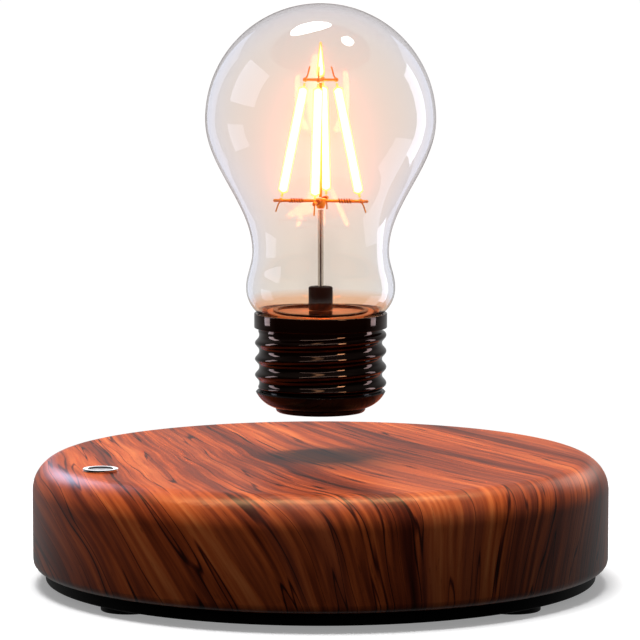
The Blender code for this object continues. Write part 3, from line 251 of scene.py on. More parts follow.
@dataclass(frozen=True)
class OiledWalnut(Finish):
    """Turned walnut under satin oil. The growth layers of one solid block run through it at a slant, so
    the top shows long straight grain and the wall shows steep bands. The oil deepens the dark latewood
    and leaves a soft sheen at low angles."""

    mid_height_mm: float = 18.0
    slant: Pair = (0.45, -0.35)
    slant_from_mm: Pair = (-20.0, 70.0)
    drift: Pair = (0.16, 0.52)
    drift_from_mm: Pair = (-60.0, 60.0)
    along: Pair = (0.03, 0.05)
    band_mm: float = 11.0
    band_share: float = 0.6
    streak_mm: float = 1.2
    streak_share: float = 0.55
    hair_mm: float = 3.2
    hair_width: float = 0.018
    hair_tone: float = -0.3
    sway_mm: float = 3.0
    sway_scale: float = 0.022
    tones: Pair = (0.3, 0.86)
    cloud_scale: float = 0.13
    pore_scale: float = 2.4
    gloss: float = 0.22

    def surface(self, draw: Draw) -> Socket:
        """Growth layers that lean across the block, drawn as sheets of streaks with dark hairlines.

        Args:
            draw: Adds nodes to the material.

        Returns:
            The shader's output.
        """
        block = draw.stretch(draw.place, (PER_MM,) * 3)
        slow = {"Vector": block, "Scale": self.sway_scale, "Detail": 1.0}
        sway = draw.add("TexNoise", slow).outputs["Color"]
        swing = {0: sway, 1: (self.sway_mm * 2,) * 3, 2: block}
        swayed = draw.add("VectorMath", swing, operation="MULTIPLY_ADD").outputs[0]
        at = draw.add("SeparateXYZ", {0: swayed}).outputs
        slant = draw.span(at["X"], self.slant_from_mm, self.slant, interpolation_type="SMOOTHSTEP")
        drift = draw.span(at["X"], self.drift_from_mm, self.drift)
        leaned = draw.calc("MULTIPLY_ADD", slant, draw.calc("SUBTRACT", at["Z"], self.mid_height_mm), at["X"])
        across = draw.calc("MULTIPLY_ADD", drift, at["Y"], leaned)
        along_y, along_z = (draw.calc("MULTIPLY", at[axis], share) for axis, share in zip("YZ", self.along))
        sheet = draw.add("CombineXYZ", {0: across, 1: along_y, 2: along_z}).outputs[0]
        growth = {"W": across, "Scale": 1 / self.band_mm, "Detail": 1.5}
        bands = draw.add("TexNoise", growth, noise_dimensions="1D").outputs[0]
        streaks = draw.noise(sheet, 1 / self.streak_mm, 4.0)
        off_hair = draw.calc("ABSOLUTE", draw.calc("SUBTRACT", draw.noise(sheet, 1 / self.hair_mm), 0.5))
        hair = draw.span(off_hair, (0.0, self.hair_width), (self.hair_tone, 0.0))
        layers = draw.calc("MULTIPLY_ADD", bands, self.band_share, hair)
        tone = draw.calc("MULTIPLY_ADD", streaks, self.streak_share, layers)
        wood = draw.ramp(
            draw.span(tone, self.tones, UNIT),
            (0.0, "#220a05"), (0.2, "#40160b"), (0.42, "#6a2c14"),
            (0.6, "#8c411d"), (0.8, "#a2592f"), (1.0, "#b9713f"),
        )
        mauve = draw.span(draw.noise(sheet, self.cloud_scale), (0.5, 0.7), (0.0, 0.3))
        dashes = draw.stretch(sheet, (1.0, 3.0, 2.5))
        open_pore = draw.span(draw.noise(dashes, self.pore_scale), (0.66, 0.76), (0.0, 0.35))
        colour = draw.mix(open_pore, draw.mix(mauve, wood, "#5d342c"), "#1e0b06")
        rough = draw.span(streaks, UNIT, (0.3, 0.4))
        grain = draw.bump(streaks, 0.2, 0.04)
        return draw.skin(colour, rough, {"Normal": grain, "Specular IOR Level": self.gloss})


@dataclass(frozen=True)
class MouldedPlastic(Finish):
    """Injection-moulded plastic with the fine spark texture of its tool, which breaks a highlight up a
    little. The texture is drawn coarser than the real 0.05 mm, or it wouldn't show."""

    colour: str = "#0d0c0d"
    lighter: str = "#191718"
    roughness: float = 0.42
    texture_mm: float = 0.35
    gloss: float = 0.5
    flow_mm: float = 9.0
    spread: float = 0.06

    def surface(self, draw: Draw) -> Socket:
        """A dark skin with slight flow marks and a pebbled bump.

        Args:
            draw: Adds nodes to the material.

        Returns:
            The shader's output.
        """
        flow = draw.noise(draw.place, PER_MM / self.flow_mm, 3.0)
        pebble = draw.noise(draw.place, PER_MM / self.texture_mm, 2.0)
        colour = draw.ramp(flow, (0.3, self.colour), (0.75, self.lighter))
        rough = draw.span(pebble, UNIT, (self.roughness - self.spread, self.roughness + self.spread))
        relief = draw.bump(pebble, 0.3, 0.03)
        return draw.skin(colour, rough, {"Normal": relief, "Specular IOR Level": self.gloss})


@dataclass(frozen=True)
class BlownGlass(Finish):
    """Clear soda-lime glass, blown thin. Its wall is never quite even, so reflections of the lamps
    bend a little. Its tint is a painted glow of the filaments: warm where the wall faces the eye,
    and cool and clear where the wall is seen edge on. A painted reflection of the copper deck warms
    the lowest few millimetres. Light from lamps passes to the parts inside."""

    # Tints that paint light: a warm painted glow where the wall faces the eye, cool at the edge, and a
    # painted reflection of the copper deck at the foot.
    through: str = "#f2ece5"
    edge_on: str = "#eef2fc"
    warm: str = "#f3bc8e"
    clear: str = "#f4eeec"
    painted_reflection_foot_mm: Pair = (72.6, 75.2)
    painted_reflection_share: float = 0.85
    wave_mm: float = 16.0
    refraction: float = 1.5

    def surface(self, draw: Draw) -> Socket:
        """Bending glass for what is seen, and clear for the rays that go to a lamp.

        Args:
            draw: Adds nodes to the material.

        Returns:
            The shader's output.
        """
        wave = draw.bump(draw.noise(draw.place, PER_MM / self.wave_mm), 0.12, 0.3)
        # Painted glow: the tint is warm where the wall faces the eye and cool where it is seen edge on.
        facing = draw.add("LayerWeight", {"Blend": 0.35}).outputs["Facing"]
        painted_glow_tint = draw.ramp(facing, (0.1, self.through), (0.6, self.edge_on))
        # Painted reflection of the copper deck: the lowest few millimetres are tinted warm.
        height = draw.add("SeparateXYZ", {0: draw.place}).outputs["Z"]
        foot = draw.span(height, tuple(z * MM for z in self.painted_reflection_foot_mm), (self.painted_reflection_share, 0.0))
        tint = draw.mix(foot, painted_glow_tint, self.warm)
        glass = draw.skin(tint, 0.0, {"Normal": wave, "IOR": self.refraction, "Transmission Weight": 1.0})
        return draw.see_through(draw.add("LightPath").outputs["Is Shadow Ray"], glass, self.clear)


@dataclass(frozen=True)
class Patterned(Finish):
    """A surface whose colour, roughness and relief all follow one fine pattern."""

    size_mm: float
    stops: tuple[tuple[float, str], ...]
    rough: Pair
    rough_from: Pair = UNIT
    detail: float = 1.0
    squash: Triple = (1.0, 1.0, 1.0)
    texture: tuple[str, str] = ("TexNoise", "Fac")
    settings: tuple[tuple[str, str], ...] = ()
    relief: Pair = (0.0, 0.0)
    glow: float = 0.0
    more: tuple[tuple[str, float], ...] = ()

    def surface(self, draw: Draw) -> Socket:
        """One pattern, which sets the colour, the roughness, the relief and the glow.

        Args:
            draw: Adds nodes to the material.

        Returns:
            The shader's output.
        """
        kind, output = self.texture
        pattern = draw.add(kind, {"Scale": PER_MM / self.size_mm}, **dict(self.settings))
        draw.tree.links.new(draw.stretch(draw.place, self.squash), pattern.inputs["Vector"])
        if kind == "TexNoise":
            pattern.inputs["Detail"].default_value = self.detail
        value = pattern.outputs[output]
        colour = draw.ramp(value, *self.stops)
        more = dict(self.more)
        if any(self.relief):
            more["Normal"] = draw.bump(value, *self.relief)
        if self.glow:
            more.update({"Emission Color": colour, "Emission Strength": self.glow})
        return draw.skin(colour, draw.span(value, self.rough_from, self.rough), more)


@dataclass(frozen=True)
class LitCoating(Patterned):
    """The silicone and phosphor skin of a lit filament. It glows amber, and the white-hot line of
    chips inside it shines through."""

    clearness: float = 0.5
    clear: str = "#fff1d8"

    def surface(self, draw: Draw) -> Socket:
        """Lets a share of the core's light through the glowing skin."""
        return draw.see_through(self.clearness, super().surface(draw), self.clear)


METAL = (("Metallic", 1.0),)


def plated(
    name: str, colour: str, tarnish: str, rough: Pair, mark_mm: float = 1.2, squash: Triple = (1.0, 1.0, 1.0)
) -> Patterned:
    """Metal with a plated or polished skin, whose rubbing marks change its roughness from place to place.

    Args:
        name: The material's name.
        colour: The metal's colour.
        tarnish: Its colour in the marks.
        rough: Its roughness outside and in the marks.
        mark_mm: The size of the marks.
        squash: How much finer the marks are on each axis.

    Returns:
        The finish.
    """
    stops = ((0.35, colour), (0.75, tarnish))
    return Patterned(name, mark_mm, stops, rough, (0.3, 0.7), 3.0, squash, more=METAL)


def wound(name: str, **kind: str) -> Patterned:
    """Enamelled copper wire in even layers. Its ribs are drawn 0.8 mm wide, or they wouldn't show.

    Args:
        name: The material's name.
        kind: The wave texture's settings, which give the way that the turns run.

    Returns:
        The finish.
    """
    stops = ((0.1, "#4a1c0a"), (0.5, "#b5602e"), (1.0, "#d98a4e"))
    return Patterned(
        name, 16.0, stops, (0.3, 0.3), texture=("TexWave", "Fac"), settings=tuple(kind.items()),
        relief=(0.6, 0.1), more=(*METAL, ("Coat Weight", 0.4)),
    )


WALNUT = OiledWalnut("walnut_turned_satin_oil")
TRAY_ABS = MouldedPlastic("abs_moulded_satin_black", "#050505", "#0a0909", 0.5, 0.35, 0.05)
RUBBER = MouldedPlastic("rubber_moulded_black", "#0a0a0a", "#151414", 0.7, 0.5)
NYLON = MouldedPlastic("nylon_moulded_black", "#111112", "#1d1c1e", 0.5, 0.4)
POST_PLASTIC = MouldedPlastic("abs_moulded_post_black", "#020202", "#060505", 0.5, 0.4, 0.08)
SLEEVE = MouldedPlastic("pet_shrink_sleeve_black", "#0c0d12", "#181a22", 0.25, 0.8)
# A slight ripple in the clear lacquer bends its sharp reflections.
GLOSS_ABS = Patterned(
    "abs_lacquered_gloss_black", 6.0, ((0.3, "#030202"), (0.8, "#070505")), (0.1, 0.18),
    relief=(0.1, 0.05), more=(("Specular IOR Level", 0.14),),
)
# Bright black nickel mirrors in a dark bronze tone, with faint wiping marks round the axis.
BLACK_NICKEL = Patterned(
    "brass_rolled_black_nickel", 2.5, ((0.3, "#382c27"), (0.7, "#231815")), (0.03, 0.1),
    detail=2.0, squash=(0.3, 0.3, 3.0), more=METAL,
)
CHROME = plated("brass_turned_bright_chrome", "#dcdde2", "#c9cbd2", (0.08, 0.13))
PAD_METAL = plated("aluminium_anodised_satin_silver", "#d4d5d9", "#c2c4c9", (0.3, 0.38))
ZINC = plated("steel_headed_bright_zinc", "#b7bbc2", "#9fa08f", (0.24, 0.36))
NICKEL = plated("steel_drawn_bright_nickel", "#cfcbc4", "#b9b2a8", (0.1, 0.16), 0.8, (1.0, 1.0, 0.1))
DECK_COPPER = plated("copper_spun_polished", "#f0a878", "#d98a58", (0.1, 0.14), 6.0)
GOLD_WIRE = plated("steel_drawn_gold_plated", "#f7a544", "#e58a30", (0.32, 0.42), 0.8)
WINDING = plated("copper_wire_dark_enamel", "#6e2f12", "#4a1c0c", (0.3, 0.4), 0.6)
IRON = plated("iron_turned_soft", "#7d7a78", "#5f5b58", (0.35, 0.5), 1.0, (1.0, 1.0, 6.0))
# Pressed powder with pale rubbed specks.
FERRITE = Patterned(
    "ferrite_pressed_fired", 0.5, ((0.45, "#2a2a2d"), (0.72, "#5a5a5e")), (0.72, 0.72),
    detail=4.0, relief=(0.5, 0.05),
)
COIL = wound("copper_wire_enamelled_wound", bands_direction="Z")
FLAT_COIL = wound("copper_wire_enamelled_flat_coil", wave_type="RINGS", rings_direction="Z")
# Square copper tracks show as lighter lines under the green mask.
BOARD = Patterned(
    "fibre_board_green_mask", 2.4, ((0.42, "#0c3a22"), (0.5, "#1d6a3c"), (0.56, "#0c3a22")), (0.3, 0.3),
    texture=("TexVoronoi", "Distance"), settings=(("distance", "CHEBYCHEV"), ("feature", "F1")),
    relief=(0.3, 0.03), more=(("Coat Weight", 0.5),),
)
GLASS = BlownGlass("soda_glass_blown_clear")
COATING = LitCoating("silicone_phosphor_lit", 0.7, ((0.3, "#ffae50"), (0.7, "#ffba62")), (0.5, 0.5), glow=1.3)
# The row of chips is too bright to show anything but a warm white line.
CHIPS = Patterned(
    "light_chips_lit", 14.0, ((0.0, "#ffc496"), (1.0, "#ffc69c")), (0.5, 0.5),
    texture=("TexWave", "Fac"), settings=(("bands_direction", "Z"),), glow=13.0,
)
# The table is faintly lit from below, so shadows on it stay soft and grey.
TABLE = Patterned(
    "acrylic_matt_white_table", PER_MM / 12, ((0.3, "#f6f6f7"), (0.7, "#f8f8f8")), (0.9, 0.9),
    glow=0.3, more=(("Specular IOR Level", 0.1),),
)


# Mesh work


class Workpiece:
    """A mesh in the making, in millimetres, shaped with bmesh operators."""

    def __init__(self) -> None:
        """Starts with nothing."""
        self.bm = bmesh.new()
        self.last_start = 0

    def turn(self, profile: list[Point], steps: int, closed: bool = False) -> "Workpiece":
        """Turns a profile about the Z axis.

        Args:
            profile: Points of (radius, height) or (radius, height, rounding of that corner).
            steps: Facets round the axis.
            closed: True joins the last point to the first, for a ring.

        Returns:
            This workpiece.
        """
        part = bmesh.new()
        wire = [part.verts.new((point[0], 0, point[1])) for point in profile]
        for pair in [*zip(wire, wire[1:]), *([(wire[-1], wire[0])] if closed else [])]:
            part.edges.new(pair)
        for vertex, point in zip(wire, profile):
            if len(point) > 2 and point[2] > 0:
                ends = [edge.other_vert(vertex).co - vertex.co for edge in vertex.link_edges]
                slide = point[2] / math.tan(ends[0].angle(ends[1]) / 2)
                bmesh.ops.bevel(
                    part, geom=[vertex], offset=slide, offset_type="OFFSET", affect="VERTICES",
                    segments=max(4, int(point[2] * 2)), profile=0.5, material=-1,
                )
        bmesh.ops.spin(
            part, geom=[*part.verts, *part.edges], cent=(0, 0, 0), axis=(0, 0, 1), dvec=(0, 0, 0),
            angle=math.tau, steps=steps, use_merge=True,
        )
        return self._take(part)

    def rod(self, radius: float, start: float, end: float, steps: int, rounding: float = 0.0) -> "Workpiece":
        """Turns a rod on the Z axis, rounded where it starts."""
        return self.turn([(0, start), (radius, start, rounding), (radius, end), (0, end)], steps)

    def sweep(self, route: list[Vector], radii: list[float], sides: int = 12) -> "Workpiece":
        """Sweeps a round section along a route, one extrusion to each point.

        Args:
            route: The points that the centre follows.
            radii: The section's radius at each point.
            sides: Facets round the section.

        Returns:
            This workpiece.
        """
        part = bmesh.new()
        last = len(route) - 1
        chords = [route[min(i + 1, last)] - route[max(i - 1, 0)] for i in range(last + 1)]
        headings = [chord.to_track_quat("Z", "Y").to_matrix().to_4x4() for chord in chords]
        places = [
            Matrix.Translation(point) @ heading @ Matrix.Scale(radius, 4)
            for point, heading, radius in zip(route, headings, radii)
        ]
        start = bmesh.ops.create_circle(part, cap_ends=True, radius=1, segments=sides, matrix=places[0])
        edges = list({edge for vertex in start["verts"] for edge in vertex.link_edges})
        for before, after in zip(places, places[1:]):
            grown = bmesh.ops.extrude_edge_only(part, edges=edges)["geom"]
            ring = {item for item in grown if isinstance(item, bmesh.types.BMVert)}
            bmesh.ops.transform(part, matrix=after @ before.inverted(), verts=list(ring))
            grown_edges = (item for item in grown if isinstance(item, bmesh.types.BMEdge))
            edges = [edge for edge in grown_edges if ring.issuperset(edge.verts)]
        bmesh.ops.contextual_create(part, geom=edges)
        return self._take(part)

    def coil(self, start: Vector, end: Vector, turns: int, radius: float, wire: float) -> "Workpiece":
        """Winds a wire round a straight line.

        Args:
            start: Where the winding starts on the line.
            end: Where it ends.
            turns: Whole turns.
            radius: From the line to the wire's centre.
            wire: The wire's radius.

        Returns:
            This workpiece.
        """
        part = bmesh.new()
        axis = (end - start).normalized()
        side = axis.orthogonal().normalized()
        upright = Matrix((side, side.cross(axis), axis)).transposed().to_4x4()
        place = Matrix.Translation(start + side * radius) @ upright @ Matrix.Rotation(math.pi / 2, 4, "X")
        bmesh.ops.create_circle(part, cap_ends=True, radius=wire, segments=8, matrix=place)
        steps = turns * 18
        bmesh.ops.spin(
            part, geom=[*part.verts, *part.edges, *part.faces], cent=start, axis=axis,
            dvec=(end - start) / steps, angle=math.tau * turns, steps=steps,
        )
        return self._take(part)

    def ball(self, radius: float, centre: Vector) -> "Workpiece":
        """Adds a ball.

        Args:
            radius: Its radius.
            centre: Its centre.

        Returns:
            This workpiece.
        """
        part = bmesh.new()
        bmesh.ops.create_icosphere(part, subdivisions=3, radius=radius, matrix=Matrix.Translation(centre))
        return self._take(part)

    def block(self, size: Point, centre: Point, edge: float) -> "Workpiece":
        """Adds a block with rounded edges.

        Args:
            size: Its sides.
            centre: Its centre.
            edge: The rounding of its edges.

        Returns:
            This workpiece.
        """
        part = bmesh.new()
        bmesh.ops.create_cube(part, size=1, matrix=Matrix.Translation(centre) @ Matrix.Diagonal((*size, 1)))
        bmesh.ops.bevel(
            part, geom=part.edges[:], offset=edge, offset_type="OFFSET", segments=3, profile=0.5,
            affect="EDGES", material=-1,
        )
        return self._take(part)

    def place(self, where: Matrix) -> "Workpiece":
        """Moves the last shape.

        Args:
            where: Its new place.

        Returns:
            This workpiece.
        """
        self.bm.verts.ensure_lookup_table()
        bmesh.ops.transform(self.bm, matrix=where, verts=self.bm.verts[self.last_start :])
        return self

    def at(self, centre: Vector) -> "Workpiece":
        """Shifts the last shape."""
        return self.place(Matrix.Translation(centre))

    def lying(self, height: float) -> "Workpiece":
        """Lays the last shape along +Y, at a height."""
        return self.place(Matrix.Translation((0, 0, height)) @ Matrix.Rotation(-math.pi / 2, 4, "X"))

    def finished(self, name: str) -> bpy.types.Object:
        """Makes an object of everything so far, in metres.

        Args:
            name: The object's name and its mesh's.

        Returns:
            The object, linked to the scene.
        """
        mesh = bpy.data.meshes.new(name)
        self.bm.to_mesh(mesh)
        self.bm.free()
        mesh.transform(Matrix.Scale(MM, 4))
        made = bpy.data.objects.new(name, mesh)
        bpy.context.scene.collection.objects.link(made)
        return made

    def _take(self, part: bmesh.types.BMesh) -> "Workpiece":
        """Merges doubles in a finished shape, turns its faces outwards and adds it to the rest.

        Args:
            part: The shape's own bmesh.

        Returns:
            This workpiece.
        """
        bmesh.ops.remove_doubles(part, verts=part.verts, dist=MERGE_MM)
        bmesh.ops.recalc_face_normals(part, faces=part.faces)
        self.last_start = len(self.bm.verts)
        carrier = bpy.data.meshes.new("shape")
        part.to_mesh(carrier)
        part.free()
        self.bm.from_mesh(carrier)
        bpy.data.meshes.remove(carrier)
        return self


def smooth(mesh: bpy.types.Mesh, crease_deg: float = CREASE_DEG) -> None:
    """Shades a mesh smooth, apart from edges that turn more than the crease."""
    mesh.shade_smooth()
    mesh.set_sharp_from_angle(angle=math.radians(crease_deg))


@dataclass
class Fitting:
    """Where a piece belongs: its body, the CAD nodes it stands for and its slot in the record."""

    body: Body
    stands_for: tuple[str, ...]
    slot: str
    made: ClassVar[dict[str, list[bpy.types.Object]]] = {}

    def fit(
        self, name: str, work: Workpiece, finish: Finish, crease_deg: float = CREASE_DEG
    ) -> bpy.types.Object:
        """Makes the piece and puts it on its body.

        Args:
            name: The piece's name.
            work: Its mesh, in millimetres.
            finish: Its finish.
            crease_deg: Edges that turn more than this stay sharp.

        Returns:
            The piece, at the origin, with its place in its mesh.
        """
        piece = work.finished(name)
        smooth(piece.data, crease_deg)
        piece.data.materials.append(finish.material())
        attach(piece, self.body.value)
        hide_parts(*self.stands_for)
        self.made.setdefault(self.slot, []).append(piece)
        LOG.info("%s: %d faces on %s", name, len(piece.data.polygons), self.body.value)
        return piece


def carve(piece: bpy.types.Object, tool: Workpiece) -> None:
    """Cuts a tool's shape out of a piece and keeps the result in the piece's mesh.

    Args:
        piece: What is cut.
        tool: The cutter, in millimetres.
    """
    cutter = tool.finished("cutter")
    cut = piece.modifiers.new("cut", "BOOLEAN")
    cut.operation, cut.solver, cut.object = "DIFFERENCE", "EXACT", cutter
    shaped = bpy.data.meshes.new_from_object(piece.evaluated_get(bpy.context.evaluated_depsgraph_get()))
    piece.modifiers.remove(cut)
    bpy.data.objects.remove(cutter)
    shaped.name = piece.name
    piece.data = shaped
    smooth(shaped)


def eased(start: Point, end: Point, steps: int) -> list[Point]:
    """Points between two turning points of a blown outline.

    Args:
        start: The first (radius, height), left out.
        end: The last (radius, height).
        steps: How many points.

    Returns:
        The points after the start.
    """
    shares = [(i + 1) / steps for i in range(steps)]
    return [
        (start[0] + (end[0] - start[0]) * (1 - math.cos(math.pi * s)) / 2, start[1] + (end[1] - start[1]) * s)
        for s in shares
    ]


def arc(centre: Point, radius: float, start_deg: float, end_deg: float, steps: int) -> list[Point]:
    """Points on an arc of a profile.

    Args:
        centre: The arc's centre as (radius, height).
        radius: The arc's own radius.
        start_deg: Where it starts.
        end_deg: Where it ends.
        steps: How many facets.

    Returns:
        The points, both ends included.
    """
    turns = [math.radians(start_deg + (end_deg - start_deg) * i / steps) for i in range(steps + 1)]
    return [(centre[0] + radius * math.cos(t), centre[1] + radius * math.sin(t)) for t in turns]


# Sub-assemblies


@dataclass
class WoodenBase:
    """The turned walnut body: a rounded top edge, a small lower edge and a cavity below."""

    radius: float = 75.0
    bottom: float = 4.75
    top: float = 33.2
    top_fillet: float = 8.2
    bottom_fillet: float = 2.4
    cavity_radius: float = 69.0
    ceiling: float = 29.2
    cavity_chamfer: float = 1.5
    switch_hole: float = 4.0
    switch_drill: Pair = (25.0, 40.0)
    socket_hole: float = 5.8
    socket_drill: Pair = (60.0, 80.0)
    socket_axis: float = 16.5

    def build(self, switch_place: Vector) -> None:
        """Turns the body and drills the holes for the switch and the power socket.

        Args:
            switch_place: The switch's axis.
        """
        outline = [
            (0, self.ceiling), (self.cavity_radius - self.cavity_chamfer, self.ceiling),
            (self.cavity_radius, self.ceiling - self.cavity_chamfer), (self.cavity_radius, self.bottom),
            (self.radius, self.bottom, self.bottom_fillet), (self.radius, self.top, self.top_fillet),
            (0, self.top),
        ]
        work = Workpiece().turn(outline, Facets.BODY)
        body = Fitting(Body.BASE, ("base_shell",), "wood").fit("walnut_body", work, WALNUT)
        drill = Workpiece().rod(self.switch_hole, *self.switch_drill, Facets.SCREW)
        carve(body, drill.at(switch_place))
        drill = Workpiece().rod(self.socket_hole, *self.socket_drill, Facets.SCREW)
        carve(body, drill.lying(self.socket_axis))


@dataclass
class BottomTray:
    """The black tray under the wood, with its feet and the screws that hold it."""

    radius: float = 71.8
    bottom: float = 1.5
    floor: float = 3.9
    rim_top: float = 4.45
    chamfer: float = 0.5
    lip_radius: float = 68.7
    lip_wall: float = 1.6
    lip_top: float = 7.75
    foot_circle: float = 63.4
    foot_spread_deg: float = 40.7
    foot_radius: float = 7.2
    foot_rounding: float = 0.4
    foot_recess: float = 0.8
    foot_gap: float = 0.05
    groove_from_rim: Triple = (2.2, 2.0, 1.7)
    groove_depth: float = 0.15
    screw_circle: float = 62.0
    screw_first_deg: float = 65.0
    screw_sink: float = 1.3
    screw_head: float = 3.0
    screw_head_height: float = 1.05
    screw_rounding: float = 0.25
    screw_gap: float = 0.1
    shank_radius: float = 1.2
    shank_end: float = 11.0
    screw_point: float = 12.0
    slot: Triple = (7.0, 0.6, 0.8)
    slot_edge: float = 0.05
    clearance: float = 0.3

    def build(self) -> None:
        """Turns the tray, sinks its recesses, and adds feet and screws."""
        lip_inner = self.lip_radius - self.lip_wall
        outline = [
            (0, self.bottom), (self.radius, self.bottom, self.chamfer), (self.radius, self.rim_top),
            (self.lip_radius, self.rim_top), (self.lip_radius, self.lip_top), (lip_inner, self.lip_top),
            (lip_inner, self.floor), (0, self.floor),
        ]
        work = Workpiece().turn(outline, Facets.BODY)
        tray = Fitting(Body.BASE, ("base_tray",), "tray_plastic").fit("tray_plate", work, TRAY_ABS)
        recess_top = self.bottom + self.foot_recess
        sink_top = self.bottom + self.screw_sink
        for place in self.foot_places():
            carve(tray, self._recess(self.foot_radius, recess_top).at(place))
        for i in range(4):
            place = polar(self.screw_circle, self.screw_first_deg + 90 * i)
            carve(tray, self._recess(self.screw_head, sink_top).at(place))
            self._screw(i + 1, place, sink_top)
        inner, deepest, outer = (self.foot_radius - inset for inset in self.groove_from_rim)
        top = recess_top - self.foot_gap
        for i, place in enumerate(self.foot_places()):
            outline = [
                (0, 0), (inner, 0), (deepest, self.groove_depth), (outer, 0),
                (self.foot_radius, 0, self.foot_rounding), (self.foot_radius, top), (0, top),
            ]
            foot = Workpiece().turn(outline, Facets.FOOT)
            fitting = Fitting(Body.BASE, (f"foot_{i + 1}",), "rubber")
            fitting.fit(f"rubber_foot_{i + 1}", foot.at(place), RUBBER)

    def foot_places(self) -> list[Vector]:
        """The feet's axes, mirrored to both sides of the X and the Y axis."""
        spread = self.foot_spread_deg
        return [polar(self.foot_circle, a) for a in (spread, 180 - spread, 180 + spread, -spread)]

    def _recess(self, radius: float, top: float) -> Workpiece:
        """A cutter for the recess of a round piece."""
        return Workpiece().rod(radius + self.clearance, 0, top, Facets.SCREW)

    def _screw(self, number: int, place: Vector, seat: float) -> None:
        """Adds a slotted screw in its sink.

        Args:
            number: The screw's number.
            place: Its axis.
            seat: The height of the sink's top.
        """
        low, neck = seat - self.screw_head_height, seat - self.screw_gap
        outline = [
            (0, low), (self.screw_head, low, self.screw_rounding), (self.screw_head, neck),
            (self.shank_radius, neck), (self.shank_radius, self.shank_end), (0, self.screw_point),
        ]
        work = Workpiece().turn(outline, Facets.SCREW)
        fitting = Fitting(Body.BASE, (f"tray_screw_{number}",), "zinc_steel")
        screw = fitting.fit(f"zinc_screw_{number}", work.at(place), ZINC)
        carve(screw, Workpiece().block(self.slot, (place.x, place.y, low), self.slot_edge))


@dataclass
class TouchSwitch:
    """The touch switch in the top: a bright bezel with a dished pad sunk in it."""

    circle: float = 62.3
    angle_deg: float = 206.3
    seat: float = 33.25
    top: float = 33.9
    radius: float = 4.5
    edge: float = 0.12
    stem_radius: float = 3.7
    stem_bottom: float = 26.0
    inner_radius: float = 3.25
    inner_slope: Triple = (0.25, 0.06, 0.08)
    pad_radius: float = 3.15
    pad_top: float = 33.62
    pad_edge: float = 0.05
    pad_bottom: float = 28.0
    dish_depths: Pair = (0.12, 0.08)
    dish_share: float = 0.6

    def place(self) -> Vector:
        """The switch's axis."""
        return polar(self.circle, self.angle_deg)

    def build(self) -> None:
        """Turns the bezel ring and the pad."""
        run, drop, rounding = self.inner_slope
        outline = [
            (self.inner_radius, self.top - drop), (self.inner_radius + run, self.top, rounding),
            (self.radius, self.top, self.edge), (self.radius, self.seat), (self.stem_radius, self.seat),
            (self.stem_radius, self.stem_bottom), (self.inner_radius, self.stem_bottom),
        ]
        ring = Workpiece().turn(outline, Facets.SWITCH, closed=True)
        fitting = Fitting(Body.BASE, ("touch_bezel",), "bright_bezel")
        fitting.fit("chrome_bezel", ring.at(self.place()), CHROME)
        middle, side = self.dish_depths
        outline = [
            (0, self.pad_top - middle), (self.pad_radius * self.dish_share, self.pad_top - side),
            (self.pad_radius, self.pad_top, self.pad_edge), (self.pad_radius, self.pad_bottom),
            (0, self.pad_bottom),
        ]
        pad = Workpiece().turn(outline, Facets.SWITCH)
        fitting = Fitting(Body.BASE, ("touch_pad",), "bright_bezel")
        fitting.fit("silver_pad", pad.at(self.place()), PAD_METAL)


@dataclass
class PowerSocket:
    """The round inlet in the back wall, with its centre pin."""

    axis_height: float = 16.5
    body: Triple = (9.0, 13.5, 10.8)
    body_edge: float = 0.4
    front: float = 68.55
    nose_radius: float = 5.0
    nose_end: float = 70.75
    nose_edge: float = 0.3
    nose_root: float = 3.0
    sleeve_wall: float = 1.0
    bore_radius: float = 3.2
    bore_edge: float = 0.25
    bore_end: float = 61.25
    bore_floor: float = 0.5
    well: Triple = (4.2, 60.5, 80.0)
    pin_radius: float = 0.95
    pin_end: float = 69.95
    pin_rounding: float = 0.6

    def build(self) -> None:
        """Makes the moulded body with its bore, and the nickel pin."""
        fitting = Fitting(Body.BASE, ("power_socket",), "black_moulding")
        centre = (0, self.front - self.body[1] / 2, self.axis_height)
        block = Workpiece().block(self.body, centre, self.body_edge)
        socket = fitting.fit("socket_body", block, NYLON)
        root, sleeve = self.front - self.nose_root, self.nose_radius - self.sleeve_wall
        floor = self.bore_end - self.bore_floor
        outline = [
            (0, self.bore_end), (self.bore_radius, self.bore_end),
            (self.bore_radius, self.nose_end, self.bore_edge),
            (self.nose_radius, self.nose_end, self.nose_edge), (self.nose_radius, root),
            (sleeve, root), (sleeve, floor), (0, floor),
        ]
        nose = Workpiece().turn(outline, Facets.FOOT)
        carve(socket, Workpiece().rod(*self.well, Facets.FOOT).lying(self.axis_height))
        fitting.fit("socket_nose", nose.lying(self.axis_height), NYLON)
        pin = Workpiece().rod(self.pin_radius, self.pin_end, self.bore_end, Facets.PIN, self.pin_rounding)
        fitting.fit("socket_pin", pin.lying(self.axis_height), NICKEL)


